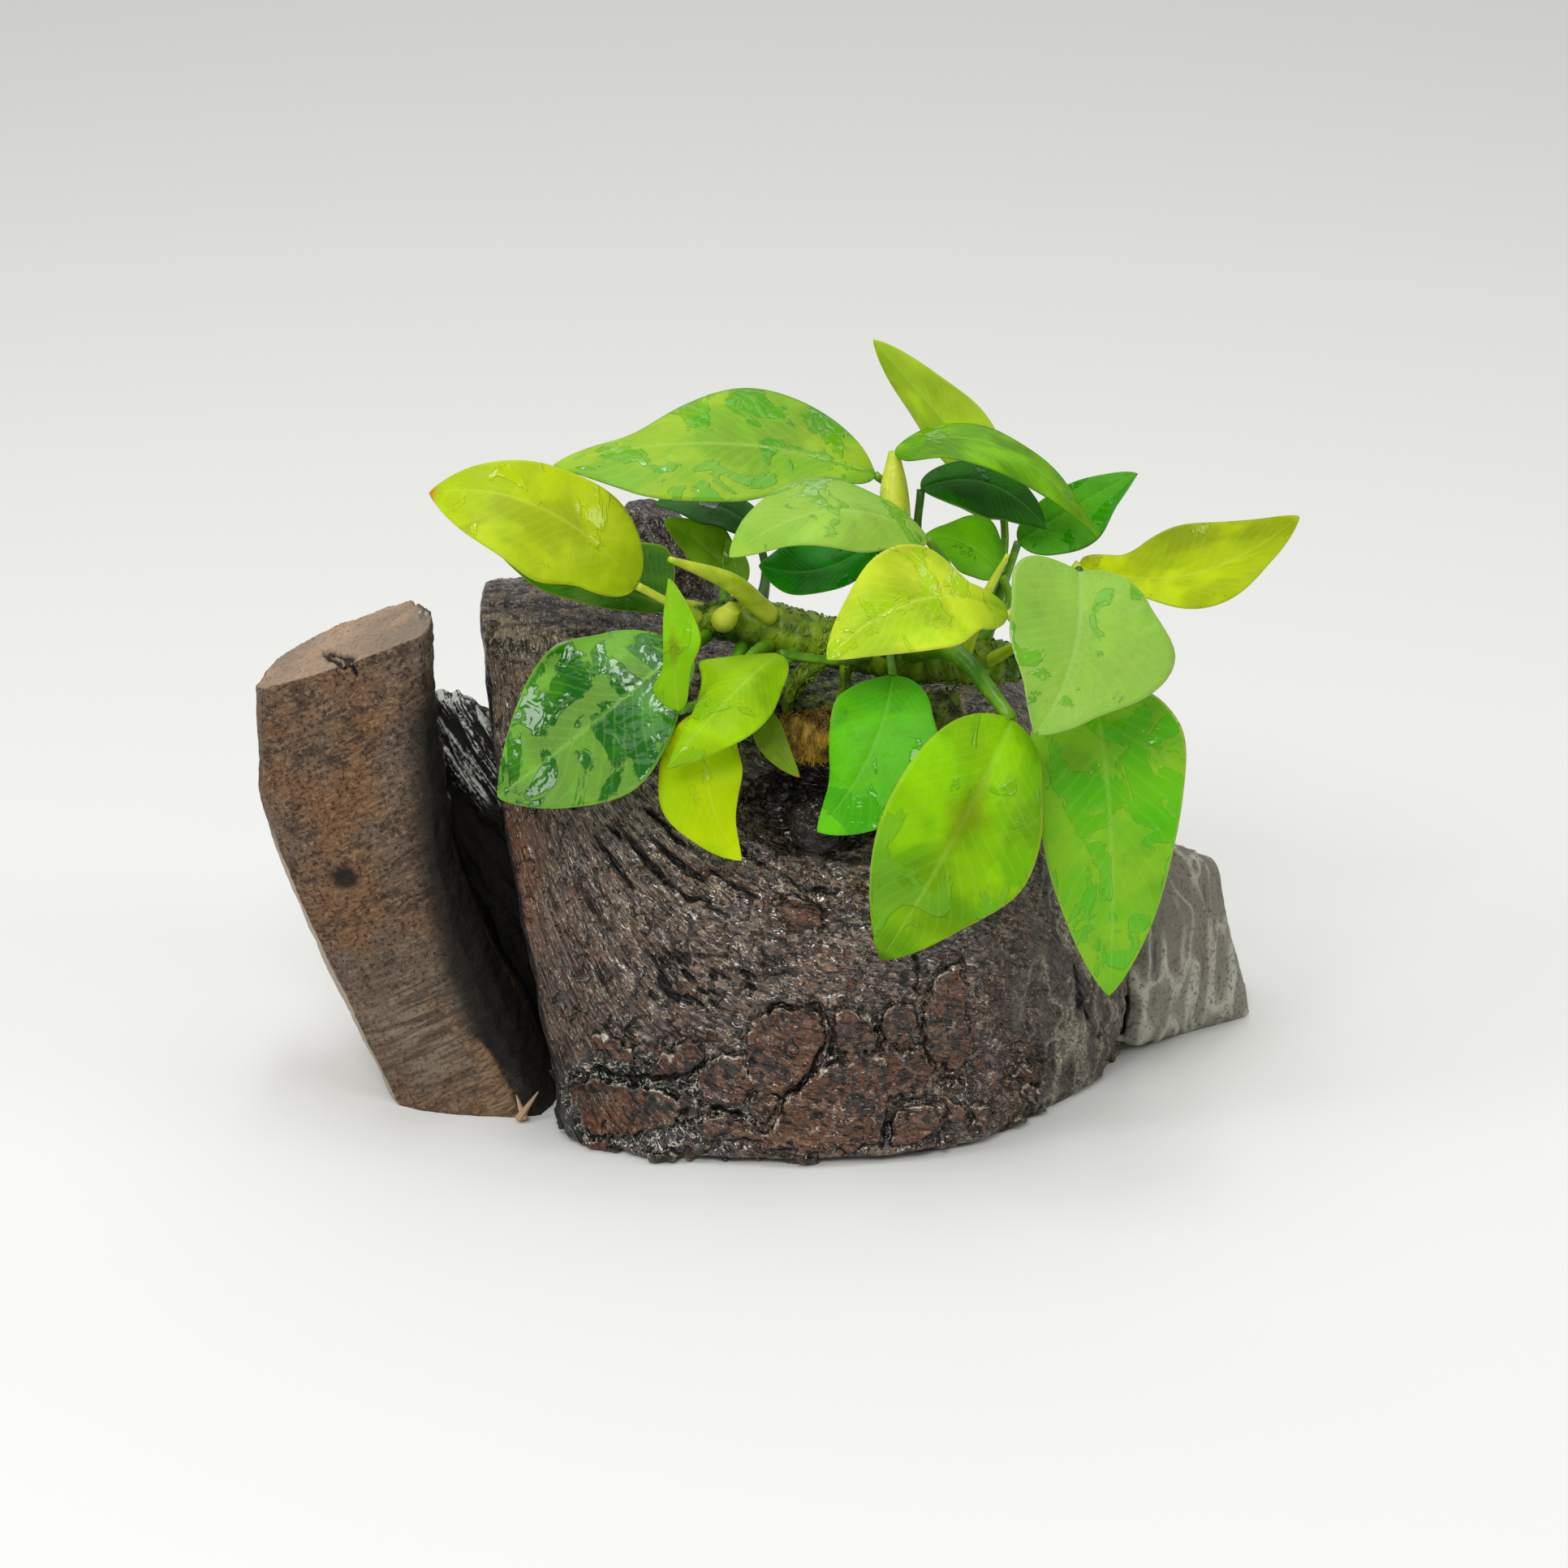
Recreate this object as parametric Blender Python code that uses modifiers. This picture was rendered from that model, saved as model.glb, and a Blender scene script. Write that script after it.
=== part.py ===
"""Anubias growing on a forked piece of driftwood.

The plant is an assembly of a rhizome, roots, shoots, leaf stalks and leaf blades.
The wood is split at its main forks into a block, a left limb, a back limb and a tail.
Lengths below are millimetres. X runs along the wood, Y away from the viewer, Z up.
"""
import math

import bmesh
import bpy
from mathutils import Matrix, Vector

MM = 0.001
# Cutters are grown by this much, so that pieces that meet keep a thin gap.
CUTTER_GROWTH = 0.5
BLADE_THICKNESS = 0.6
BLADE_END = 0.25
BLADE_STEPS_LONG = 7
BLADE_STEPS_WIDE = 4
# A blade starts and ends this share of a step inside its midrib's ends.
BLADE_INSET = 0.15
# A stalk ends this far before the blade it carries.
NECK_GAP = 0.7
STALK_POINTS = 6
STALK_ROUND = 1
STALK_RADII = (1.35, 0.8, 0.75)
SHOOT_POINTS = 8
ROOT_POINTS = 10
MAT_STEPS = 9
MAT_ROUND = 3
RHIZOME_STEPS = 15
RHIZOME_ROUND = 2
# Points around and rings along each piece of wood.
BLOCK_GRID = (31, 23)
LEFT_LIMB_GRID = (20, 10)
WEB_GRID = (16, 6)
BACK_LIMB_GRID = (16, 7)
TAIL_GRID = (22, 9)
# The low waves along the block's grain, the plates low on its front and the limbs' ribs.
GRAIN_DEPTH = 0.35
PLATE_DEPTH = 0.6
PLATES_END = 34
RIB_DEPTH = 0.3

PARTS = "anubias_on_driftwood"
CUTTERS = "cutters"

# Wood outlines. Each station is (x at the floor, lean, points), where a point is (y, z)
# and the station leans by lean millimetres in x for each millimetre of height.
BLOCK_STATIONS = (
    (-38, -0.175, ((-29, 1), (-31, 12), (-29, 30), (-22, 55), (-8, 78), (1, 85), (16, 85),
                  (24, 74), (27, 45), (26, 2))),
    (-36, -0.175, ((-32, -2), (-34, 10), (-31, 32), (-23, 58), (-9, 82), (2, 88), (19, 87.5),
                  (28, 76), (30, 45), (29, -2))),
    (-22, -0.10, ((-37, -2), (-40, 12), (-37, 34), (-29, 58), (-16, 79), (0, 86), (20, 86.5),
                  (31, 74), (34, 45), (32, -2))),
    (-6, -0.02, ((-38, -2), (-42, 14), (-40, 34), (-34, 56), (-24, 73), (-6, 81), (18, 82),
                 (34, 72), (38, 45), (35, -2))),
    (10, 0, ((-38, -2), (-42, 14), (-41, 34), (-36, 54), (-26, 70), (-8, 77), (18, 79),
             (35, 70), (39, 42), (36, -2))),
    (26, 0.02, ((-37, -2), (-40, 14), (-39, 34), (-33, 52), (-24, 67), (-8, 75), (16, 76),
                (33, 68), (38, 40), (36, -2))),
    (40, 0.04, ((-29, -2), (-33, 14), (-32, 32), (-27, 48), (-18, 63), (-4, 71), (16, 71),
                (31, 62), (36, 38), (34, -2))),
    (53, 0.05, ((-15, -2), (-21, 12), (-22, 28), (-18, 42), (-9, 53), (2, 58), (16, 58),
                (28, 51), (33, 34), (32, -2))),
    (62, 0, ((-5, 0), (-11, 10), (-13, 24), (-10, 35), (-3, 42), (6, 45), (17, 45),
             (26, 40), (31, 28), (30, 0))),
    (65, -0.02, ((1, 3), (-4, 12), (-6, 24), (-3, 33), (2, 38), (8, 40), (17, 40),
                 (23, 36), (27, 27), (26, 3))),
)
TAIL_STATIONS = (
    (58, 0, ((0, 4), (-4, 12), (-5, 24), (-1, 34), (8, 38), (18, 38), (26, 31), (28, 6))),
    (67, 0.02, ((2, 1), (-4, 10), (-6, 22), (-2, 33), (6, 38), (18, 38), (27, 31), (29, 2))),
    (77, 0.0, ((10, -1), (4, 9), (3, 20), (6, 28), (12, 33), (21, 33), (29, 26), (31, -1))),
    (89.5, -0.24, ((17, -1), (13, 8), (13, 18), (15, 25), (19, 29), (25, 29), (31, 22), (32, -1))),
    (91, -0.26, ((19, 1), (15, 8), (15, 17), (17, 23), (20, 27), (25, 27), (29, 21), (30, 1))),
)
# The limbs run upward, so their rings are (height, slope, points), where a point is (x, y)
# and the ring rises by slope millimetres for each millimetre of x from its first point.
LEFT_LIMB_RINGS = (
    (-2, 0, ((-68, -22), (-55, -26), (-42, -26), (-39, -14), (-42, 2), (-54, 10), (-66, 4),
             (-70, -12))),
    (10, 0, ((-74, -19), (-61, -23), (-48, -22), (-44, -10), (-48, 7), (-61, 13), (-71, 6),
             (-75.5, -8))),
    (24, 0, ((-80, -17), (-67, -21), (-54.5, -20), (-51, -9), (-55, 9), (-68, 14), (-78, 7),
             (-82, -6))),
    (42, 0, ((-87, -16), (-73, -20), (-60, -19), (-57.5, -9), (-62, 10), (-73, 13), (-85, 6),
             (-88.5, -5))),
    (58, 0, ((-91, -15), (-76, -19), (-61, -19), (-59.5, -9), (-64, 8), (-76, 10), (-89, 4),
             (-92, -6))),
    (78, 0, ((-90.4, -15), (-76, -18.5), (-62, -18.5), (-61, -9), (-66, 3), (-77, 5), (-88, 1),
             (-90.9, -7))),
    (98, 0, ((-90.2, -15), (-76, -18.5), (-62, -18.5), (-61, -9), (-66, 3), (-77, 5), (-88, 1),
             (-90.7, -7))),
)
# The saw cut across the left limb passes through these three points.
SAW_CUT = ((-91, -15, 78.5), (-61.5, -18, 90), (-77, 2, 84.5))
FLOOR = ((0, 0, 0), (0, 1, 0), (1, 0, 0))
BACK_LIMB_RINGS = (
    (55, 0, ((-33, 25), (-21, 21), (-9, 26), (-7, 36), (-13, 43), (-24, 44), (-33, 38), (-35, 31))),
    (72, 0, ((-32, 28), (-21, 25), (-11, 29), (-9, 37), (-14, 44), (-24, 45), (-32, 40), (-34, 34))),
    (86, 0, ((-30, 32), (-22, 29), (-14, 33), (-12, 39), (-16, 44), (-23, 46), (-30, 42), (-31, 37))),
    (93, -0.25, ((-28, 34), (-23, 32), (-17, 35), (-15, 39), (-18, 43), (-23, 45), (-28, 42),
                 (-29, 38))),
    (96, -0.3, ((-27, 36), (-23, 34), (-19, 36), (-18, 39), (-20, 41), (-23, 43), (-26, 41),
                (-28, 38))),
)
# The web of wood at the crotch between the block and the left limb, given as stations.
WEB_STATIONS = (
    (-68, 0, ((2, -1), (0, 20), (-1, 44), (2, 62), (8, 68), (12, 50), (14, 20), (12, -1))),
    (-58, 0, ((5, -1), (3, 20), (1, 44), (1, 64), (8, 70), (17, 54), (20, 20), (18, -1))),
    (-48, 0, ((8, -1), (6, 20), (2, 42), (-2, 56), (7, 63), (20, 54), (24, 20), (22, -1))),
    (-36, 0, ((8, -1), (6, 20), (2, 40), (-3, 50), (7, 56), (20, 50), (24, 20), (23, -1))),
)

# The hollow below the plant, the knot in it and the dark notch at the tail.
HOLLOW = ((6, -34, 64), (15, 8, 9))
KNOT = ((7, -33, 60), (5.5, 5.5, 5))
NOTCH = ((64, -8, 3), (5, 7, 4))

RHIZOME_POINTS = ((-14.5, -5, 88), (-6, -5, 88), (4, -7, 86), (14, -8, 84), (26, -8, 82),
                  (38, -6, 80.5), (45, -4, 79.5))
RHIZOME_RADII = (2.4, 4.2, 4.4, 4.2, 4.2, 3.8, 2.6)
MAT_POINTS = ((-1, -23, 72), (8, -24, 73), (19, -22, 75), (32, -19, 77))
MAT_RADII = (4.2, 5, 3.6, 3.6)

ROOTS = {
    "root_loop": ((9, -10, 83), (7, -15, 83), (3, -17, 80), (2, -18, 75), (5, -19, 72), (9, -19, 73)),
    "root_curl": ((12, -10, 82), (12, -17, 80), (11, -21, 77), (13, -22, 73), (10, -23, 71)),
}
ROOT_RADII = (1.0, 1.0, 0.8)

SHOOTS = {
    "leaf_spear": (((-1, -9, 90), (-8, -13.5, 98), (-18.5, -20, 104.5)), (1.9, 1.7, 0.5)),
    "leaf_stub": (((-9.5, -8, 89), (-9, -12.5, 91), (-7.5, -14, 93.5)), (2.2, 2.2, 1.4)),
    "thin_spear": (((33.5, -10, 83), (36.5, -9, 93), (40.6, -8.5, 101.5)), (1.0, 0.9, 0.4)),
}

# Each leaf: base, middle and tip of the midrib, the way its upper side faces, half widths on
# its own right and left at a fifth, two, three and four fifths of its length, how far each
# half folds up (right, left), then the stalk's root and its bend.
LEAVES = {
    "far_left": dict(rib=((-24.5, -12, 97), (-41, -17, 113), (-60, -14, 114.5)),
                     face=(0.1, -0.62, 0.78), right=(9, 9, 7.5, 4.5), left=(9, 14, 13, 9),
                     fold=(0.15, 0.05), stalk=((-14, -6.5, 89), (-18, -10, 92.5))),
    "below_far_left": dict(rib=((-19.5, -5, 91), (-32, -2, 94), (-51, 2, 100)),
                           face=(0.1, -0.4, 0.9), right=(13, 12, 9, 5), left=(3, 5, 5, 4),
                           fold=(0.1, -0.3), stalk=((-12.5, -3, 89), (-15.5, -3.5, 90.5))),
    "top": dict(rib=((17.5, 8, 111), (-10, 2, 118.5), (-39, -4, 116.5)),
                face=(0.05, -0.32, 0.95), right=(15, 16, 10.5, 3.5), left=(7, 13, 13.5, 11),
                fold=(0.05, -0.15), stalk=((14, -4, 86), (22.5, 11, 104))),
    "middle": dict(rib=((26, -16, 107), (9, -23, 114), (-8, -28, 107.5)),
                   face=(0, -0.3, 0.95), right=(7, 12, 11.5, 7), left=(7, 9, 8, 5),
                   fold=(-0.05, -0.2), stalk=((27, -8, 83), (30.5, -13, 98))),
    "under_middle": dict(rib=((17, -9, 104), (7, -13, 100), (-3, -16, 102)),
                         face=(0, -0.6, 0.8), right=(5, 7, 7, 5), left=(4, 5, 5, 4),
                         fold=(0, 0), stalk=((15.5, -9.5, 86), (19.5, -8, 97))),
    "golden": dict(rib=((40, -21, 95), (24, -33, 101.5), (8.5, -39, 93)),
                   face=(-0.1, -0.75, 0.65), right=(3, 9, 9.5, 5.5), left=(6, 10, 9.5, 6.5),
                   fold=(0.15, 0.1), stalk=((37, -8, 81), (43, -15, 88))),
    "right_round": dict(rib=((52, -22, 103), (50.5, -36, 93), (43.5, -47, 82.5)),
                        face=(0.15, -0.6, 0.78), right=(12, 12.5, 11, 6), left=(12, 17, 14, 7),
                        lobes=(8, 1), fold=(0.1, 0.05), stalk=((40, -6, 80.5), (53, -13, 96))),
    "hanging_right": dict(rib=((55, -25, 82), (58, -34, 58.5), (58.5, -36, 29)),
                          face=(0.1, -0.97, 0.2), right=(12.5, 12.5, 11.5, 7.5),
                          left=(14, 13, 10, 6.5), lobes=(6, 3), fold=(0.1, 0.1),
                          stalk=((43.5, -5.5, 78.5), (50.5, -17, 86.5))),
    "hanging_centre": dict(rib=((40, -36, 81), (30.5, -46, 64), (18, -46, 40.5)),
                           face=(0.05, -0.97, 0.25), right=(11, 13, 12.5, 8.5),
                           left=(9.5, 13.5, 14, 8.5), fold=(0.05, 0.1),
                           stalk=((22, -9, 83), (31, -22, 88))),
    "hanging_small": dict(rib=((20, -28, 86), (16, -37, 75), (7, -40, 62)),
                          face=(-0.1, -0.85, 0.5), right=(8.5, 8.5, 6.5, 3.2),
                          left=(8, 12, 11.5, 8), fold=(0.05, 0.05),
                          stalk=((19, -10, 83.5), (19.5, -18, 87.5))),
    "curled": dict(rib=((0.5, -28, 90), (-8, -39, 86), (-18.5, -42, 74.5)),
                   face=(-0.2, -0.7, 0.65), right=(13, 10, 6.5, 3), left=(5, 7, 7, 4.5),
                   fold=(-0.45, -0.25), stalk=((16, -11, 83.5), (10, -23, 87))),
    "pale_hanging": dict(rib=((-10, -33, 81), (-11.5, -39, 69.5), (-6, -42, 57.5)),
                         face=(0, -0.97, 0.2), right=(7, 8.5, 8.5, 5), left=(5, 6, 4.6, 2.4),
                         fold=(-0.1, -0.1), stalk=((-1, -9, 85), (-5, -22, 87))),
    "small_pointed": dict(rib=((-2.5, -27, 80), (-0.5, -31.5, 75.5), (4, -35, 70)),
                          face=(0.2, -0.95, 0.2), right=(2.5, 3, 2.8, 1.8), left=(2, 2.4, 2, 1.3),
                          fold=(0.1, 0.1), stalk=((3.5, -10, 84), (1, -18, 84))),
    "folded_upright": dict(rib=((-16.5, -36.5, 83), (-17.4, -34.5, 92), (-18.2, -29, 104)),
                           face=(0.3, 0.9, 0.1), right=(5, 2.5, 1.8, 1.4), left=(2, 3, 5, 3.5),
                           fold=(0.1, 0.1), stalk=((-6, -10.5, 85), (-9.5, -28, 83))),
    "left_dark": dict(rib=((-16.5, -20, 88.5), (-30, -32, 80), (-48, -35.5, 66.5)),
                      face=(-0.3, -0.75, 0.6), right=(12, 16, 14.5, 9.5), left=(7.5, 12.5, 15, 10),
                      fold=(0.1, 0.05), stalk=((-12.5, -7.5, 86), (-14, -14.5, 87))),
    "upright": dict(rib=((40.5, 20, 106), (29, 25, 118), (17.5, 26, 131)),
                    face=(0.3, 0.9, 0.2), right=(6, 6.5, 5.2, 3.3), left=(6, 6.5, 5.2, 3.3),
                    fold=(0.15, 0.15), stalk=((34, -2.5, 82), (41, 12, 94))),
    "arched": dict(rib=((21, 6, 116), (39.5, 3, 117.5), (57, 0, 101.8)),
                   face=(0, -0.05, 1), right=(8, 9.5, 7, 4), left=(6.5, 8, 6, 5),
                   fold=(-0.15, 0.0), stalk=((22, -4, 84), (21, 4, 106)),
                   stalk_radii=(2.6, 2.8, 1.0)),
    "behind_arched": dict(rib=((44, 15, 96), (54.5, 15, 103), (64.7, 12, 110)),
                          face=(0.3, -0.6, 0.75), right=(6.5, 8, 7.5, 4.3),
                          left=(4, 4.5, 4, 2.5), fold=(0.1, 0.1),
                          stalk=((36.5, -3, 81), (41, 8, 90))),
    "shaded": dict(rib=((26, 9, 108), (38, 12, 108), (48.5, 9, 100.5)),
                   face=(0, -0.5, 0.85), right=(6, 8, 8, 5), left=(4, 5, 5, 3),
                   fold=(0, 0), stalk=((30, -4, 83), (25.5, 6, 98))),
    "back_round": dict(rib=((40, -2, 95.5), (33.5, -1, 101), (26, 1, 101.5)),
                       face=(0, -0.5, 0.85), right=(5, 7, 6, 3), left=(5, 6, 5, 3.5),
                       fold=(0, 0), stalk=((33.5, -7, 82), (41, -2.5, 90))),
    "far_right": dict(rib=((54, 0, 97), (74.5, 4, 93.5), (94, 10, 102.5)),
                      face=(0, -0.25, 0.95), right=(6.5, 10, 9, 5), left=(6, 11.5, 13, 9),
                      fold=(0.0, 0.1), stalk=((42.5, -2, 80.5), (48, -1, 89))),
    "back_left_dark": dict(rib=((-4, 16, 98), (-12, 17, 102.5), (-22, 15, 103)),
                           face=(0, -0.3, 0.95), right=(5, 7, 7, 4), left=(5, 6, 6, 4),
                           fold=(0, 0), stalk=((-3, -3, 89), (-2, 8, 93))),
    "back_left_bright": dict(rib=((-9, 10, 92.5), (-14, 14, 96), (-20.5, 17, 99.5)),
                             face=(0, -0.8, 0.5), right=(4, 5, 4, 2.5), left=(3, 3.5, 3, 2),
                             fold=(0, 0), stalk=((-9, -2, 90), (-9.5, 5, 91.5))),
    "back_left_small": dict(rib=((-6.5, 2, 92), (-7.5, 4, 95.5), (-9, 6, 99.5)),
                            face=(0, -0.95, 0.2), right=(2, 2.4, 2.2, 1.4),
                            left=(1.8, 2.2, 2, 1.2), fold=(0.1, 0.1),
                            stalk=((-6, -2.5, 89.5), (-6, 0, 91))),
}

COLOURS = {
    "wet_wood": ((0.045, 0.024, 0.018), 0.25),
    "dry_wood": ((0.13, 0.075, 0.055), 0.7),
    "leaf_green": ((0.10, 0.32, 0.02), 0.35),
    "leaf_dark": ((0.02, 0.12, 0.02), 0.35),
    "leaf_yellow": ((0.35, 0.52, 0.02), 0.35),
    "stalk_green": ((0.20, 0.38, 0.03), 0.4),
    "root_green": ((0.08, 0.16, 0.03), 0.6),
    "root_mat": ((0.25, 0.16, 0.04), 0.9),
}
YELLOW_LEAVES = ("far_left", "golden", "far_right", "pale_hanging", "small_pointed", "back_left_bright")
DARK_LEAVES = ("below_far_left", "under_middle", "left_dark", "shaded", "back_left_dark", "upright")


def collection(name):
    made = bpy.data.collections.new(name)
    bpy.context.scene.collection.children.link(made)
    return made


def clear_scene():
    for thing in list(bpy.data.objects):
        bpy.data.objects.remove(thing)


def material(name):
    found = bpy.data.materials.get(name)
    if found:
        return found
    colour, roughness = COLOURS[name]
    made = bpy.data.materials.new(name)
    made.use_nodes = True
    shader = made.node_tree.nodes["Principled BSDF"]
    shader.inputs["Base Color"].default_value = (*colour, 1)
    shader.inputs["Roughness"].default_value = roughness
    shader.inputs["Metallic"].default_value = 0
    return made


def new_object(name, mesh, where, finish=None):
    made = bpy.data.objects.new(name, mesh)
    where.objects.link(made)
    if finish:
        mesh.materials.clear()
        mesh.materials.append(material(finish))
    return made


def catmull(before, start, end, after, t):
    """The point at t on a smooth curve from start to end."""
    return 0.5 * (
        2 * start
        + (end - before) * t
        + (2 * before - 5 * start + 4 * end - after) * t ** 2
        + (3 * start - before - 3 * end + after) * t ** 3
    )


def smooth_path(points, count):
    """Evenly numbered points on a smooth open curve through the given points."""
    points = [Vector(point) for point in points]
    padded = [2 * points[0] - points[1], *points, 2 * points[-1] - points[-2]]
    spans = len(points) - 1
    path = []
    for step in range(count):
        place = step * spans / (count - 1)
        span = min(int(place), spans - 1)
        path.append(catmull(*padded[span:span + 4], place - span))
    return path


def smooth_ring(points, count):
    """Evenly numbered points on a smooth closed curve through the given points."""
    points = [Vector(point) for point in points]
    total = len(points)
    ring = []
    for step in range(count):
        place = step * total / count
        span = int(place)
        four = [points[(span + offset) % total] for offset in (-1, 0, 1, 2)]
        ring.append(catmull(*four, place - span))
    return ring


def loft(name, rings, where, finish, relief=None):
    """One closed solid through rings that all have the same number of points."""
    mesh = bmesh.new()
    loops = [[mesh.verts.new(point * MM) for point in ring] for ring in rings]
    for lower, upper in zip(loops, loops[1:]):
        for index, vertex in enumerate(lower):
            after = (index + 1) % len(lower)
            mesh.faces.new((vertex, lower[after], upper[after], upper[index]))
    ends = [mesh.faces.new(loops[0][::-1]), mesh.faces.new(loops[-1])]
    bmesh.ops.poke(mesh, faces=ends)
    bmesh.ops.recalc_face_normals(mesh, faces=mesh.faces)
    if relief:
        mesh.normal_update()
        moves = [vertex.normal * relief(vertex.co / MM) * MM for vertex in mesh.verts]
        for vertex, move in zip(mesh.verts, moves):
            vertex.co += move
    data = bpy.data.meshes.new(name)
    mesh.to_mesh(data)
    mesh.free()
    return new_object(name, data, where, finish)


def station_rings(stations, around, along):
    """Rings across X from (x, lean, points) stations, with more rings between them."""
    first = []
    for x, lean, points in stations:
        ring = smooth_ring([(y, z, 0) for y, z in points], around)
        first.append([Vector((x + lean * point.y, point.x, point.y)) for point in ring])
    columns = [smooth_path(column, along) for column in zip(*first)]
    return [list(ring) for ring in zip(*columns)]


def limb_rings(levels, around, along):
    """Rings across Z from (height, slope, points) levels, with more rings between them."""
    first = []
    for height, slope, points in levels:
        start = points[0][0]
        ring = smooth_ring([(x, y, 0) for x, y in points], around)
        first.append([Vector((p.x, p.y, height + slope * (p.x - start))) for p in ring])
    columns = [smooth_path(column, along) for column in zip(*first)]
    return [list(ring) for ring in zip(*columns)]


def evaluated_mesh(thing):
    bpy.context.view_layer.update()
    graph = bpy.context.evaluated_depsgraph_get()
    return bpy.data.meshes.new_from_object(thing.evaluated_get(graph))


def settle(thing):
    """Turns a mesh object's modifiers into its mesh."""
    data = evaluated_mesh(thing)
    thing.modifiers.clear()
    old = thing.data
    thing.data = data
    bpy.data.meshes.remove(old)


def combine(target, other, operation):
    step = target.modifiers.new(operation.lower(), "BOOLEAN")
    step.operation = operation
    step.object = other
    step.solver = "EXACT"
    settle(target)


def as_cutter(thing, where, grow=CUTTER_GROWTH):
    """A hidden copy of a solid, grown along its normals."""
    data = thing.data.copy()
    mesh = bmesh.new()
    mesh.from_mesh(data)
    bmesh.ops.recalc_face_normals(mesh, faces=mesh.faces)
    mesh.normal_update()
    moves = [vertex.normal * grow * MM for vertex in mesh.verts]
    for vertex, move in zip(mesh.verts, moves):
        vertex.co += move
    mesh.to_mesh(data)
    mesh.free()
    made = new_object("cut_" + thing.name, data, where)
    hide(made)
    return made


def saw(thing, plane):
    """Cuts a solid flat at the plane through three points, which run counter-clockwise
    as seen from the side that is taken away."""
    first, second, third = (Vector(point) * MM for point in plane)
    mesh = bmesh.new()
    mesh.from_mesh(thing.data)
    normal = (second - first).cross(third - first)
    cut = bmesh.ops.bisect_plane(mesh, geom=mesh.verts[:] + mesh.edges[:] + mesh.faces[:],
                                 plane_co=first, plane_no=normal, clear_outer=True)
    edges = [piece for piece in cut["geom_cut"] if isinstance(piece, bmesh.types.BMEdge)]
    filled = bmesh.ops.holes_fill(mesh, edges=edges, sides=0)
    bmesh.ops.triangulate(mesh, faces=filled["faces"])
    bmesh.ops.recalc_face_normals(mesh, faces=mesh.faces)
    mesh.to_mesh(thing.data)
    mesh.free()


def hide(thing):
    thing.hide_render = True
    thing.display_type = "WIRE"


def ellipsoid(name, centre, radii, where, finish=None):
    bpy.ops.mesh.primitive_ico_sphere_add(subdivisions=3, radius=1)
    made = bpy.context.object
    made.name = name
    for vertex in made.data.vertices:
        vertex.co = Vector(c + r * v for c, r, v in zip(centre, radii, vertex.co)) * MM
    for holder in list(made.users_collection):
        holder.objects.unlink(made)
    where.objects.link(made)
    if finish:
        made.data.materials.append(material(finish))
    else:
        hide(made)
    return made


def tube(name, path, radii, where, finish, sides=STALK_ROUND):
    """A round, tapering stem along a path, as a mesh with welded caps."""
    curve = bpy.data.curves.new(name, "CURVE")
    curve.dimensions = "3D"
    curve.bevel_depth = MM
    curve.bevel_resolution = sides
    curve.use_fill_caps = True
    spline = curve.splines.new("POLY")
    spline.points.add(len(path) - 1)
    sizes = smooth_path([(radius, 0, 0) for radius in radii], len(path))
    for point, place, size in zip(spline.points, path, sizes):
        point.co = (*(place * MM), 1)
        point.radius = size.x
    holder = bpy.data.objects.new(name + "_curve", curve)
    where.objects.link(holder)
    data = evaluated_mesh(holder)
    bpy.data.objects.remove(holder)
    mesh = bmesh.new()
    mesh.from_mesh(data)
    bmesh.ops.remove_doubles(mesh, verts=mesh.verts, dist=0.01 * MM)
    bmesh.ops.recalc_face_normals(mesh, faces=mesh.faces)
    mesh.to_mesh(data)
    mesh.free()
    return new_object(name, data, where, finish)


def rib_frame(leaf, t):
    """The midrib point, its direction, the sideways direction and the upward one at t."""
    base, middle, tip = (Vector(point) for point in leaf["rib"])
    control = 2 * middle - (base + tip) / 2
    point = base * (1 - t) ** 2 + control * 2 * t * (1 - t) + tip * t ** 2
    along = ((control - base) * (1 - t) + (tip - control) * t).normalized()
    side = along.cross(Vector(leaf["face"])).normalized()
    return point, along, side, side.cross(along)


def half_width(sizes, t):
    """Half a blade's width at t from its sizes at four places, round at the base."""
    places = (0.2, 0.4, 0.6, 0.8)
    ratios = [size / edge_shape(place) for size, place in zip(sizes, places)]
    padded = [ratios[0], *ratios, ratios[-1], ratios[-1]]
    spot = min(max((t - 0.2) / 0.2, 0), 3)
    span = min(int(spot), 2)
    ratio = catmull(*padded[span:span + 4], spot - span)
    return max(ratio * edge_shape(t), BLADE_END)


def edge_shape(t):
    return t ** 0.5 * (1 - t) ** 0.8


def blade_point(leaf, t, across):
    """The blade's middle surface at t along and across from -1 (left) to 1 (right)."""
    point, along, side, up = rib_frame(leaf, t)
    on_right = across > 0
    half = half_width(leaf["right" if on_right else "left"], t)
    fold = leaf["fold"][0 if on_right else 1]
    lobe = leaf.get("lobes", (0, 0))[0 if on_right else 1]
    outward = half * abs(across) / leaf["right" if on_right else "left"][1]
    back = along * lobe * outward * (1 - t) ** 2
    return (point + side * half * across * math.cos(fold)
            + up * half * abs(across) * math.sin(fold) - back)


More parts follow.
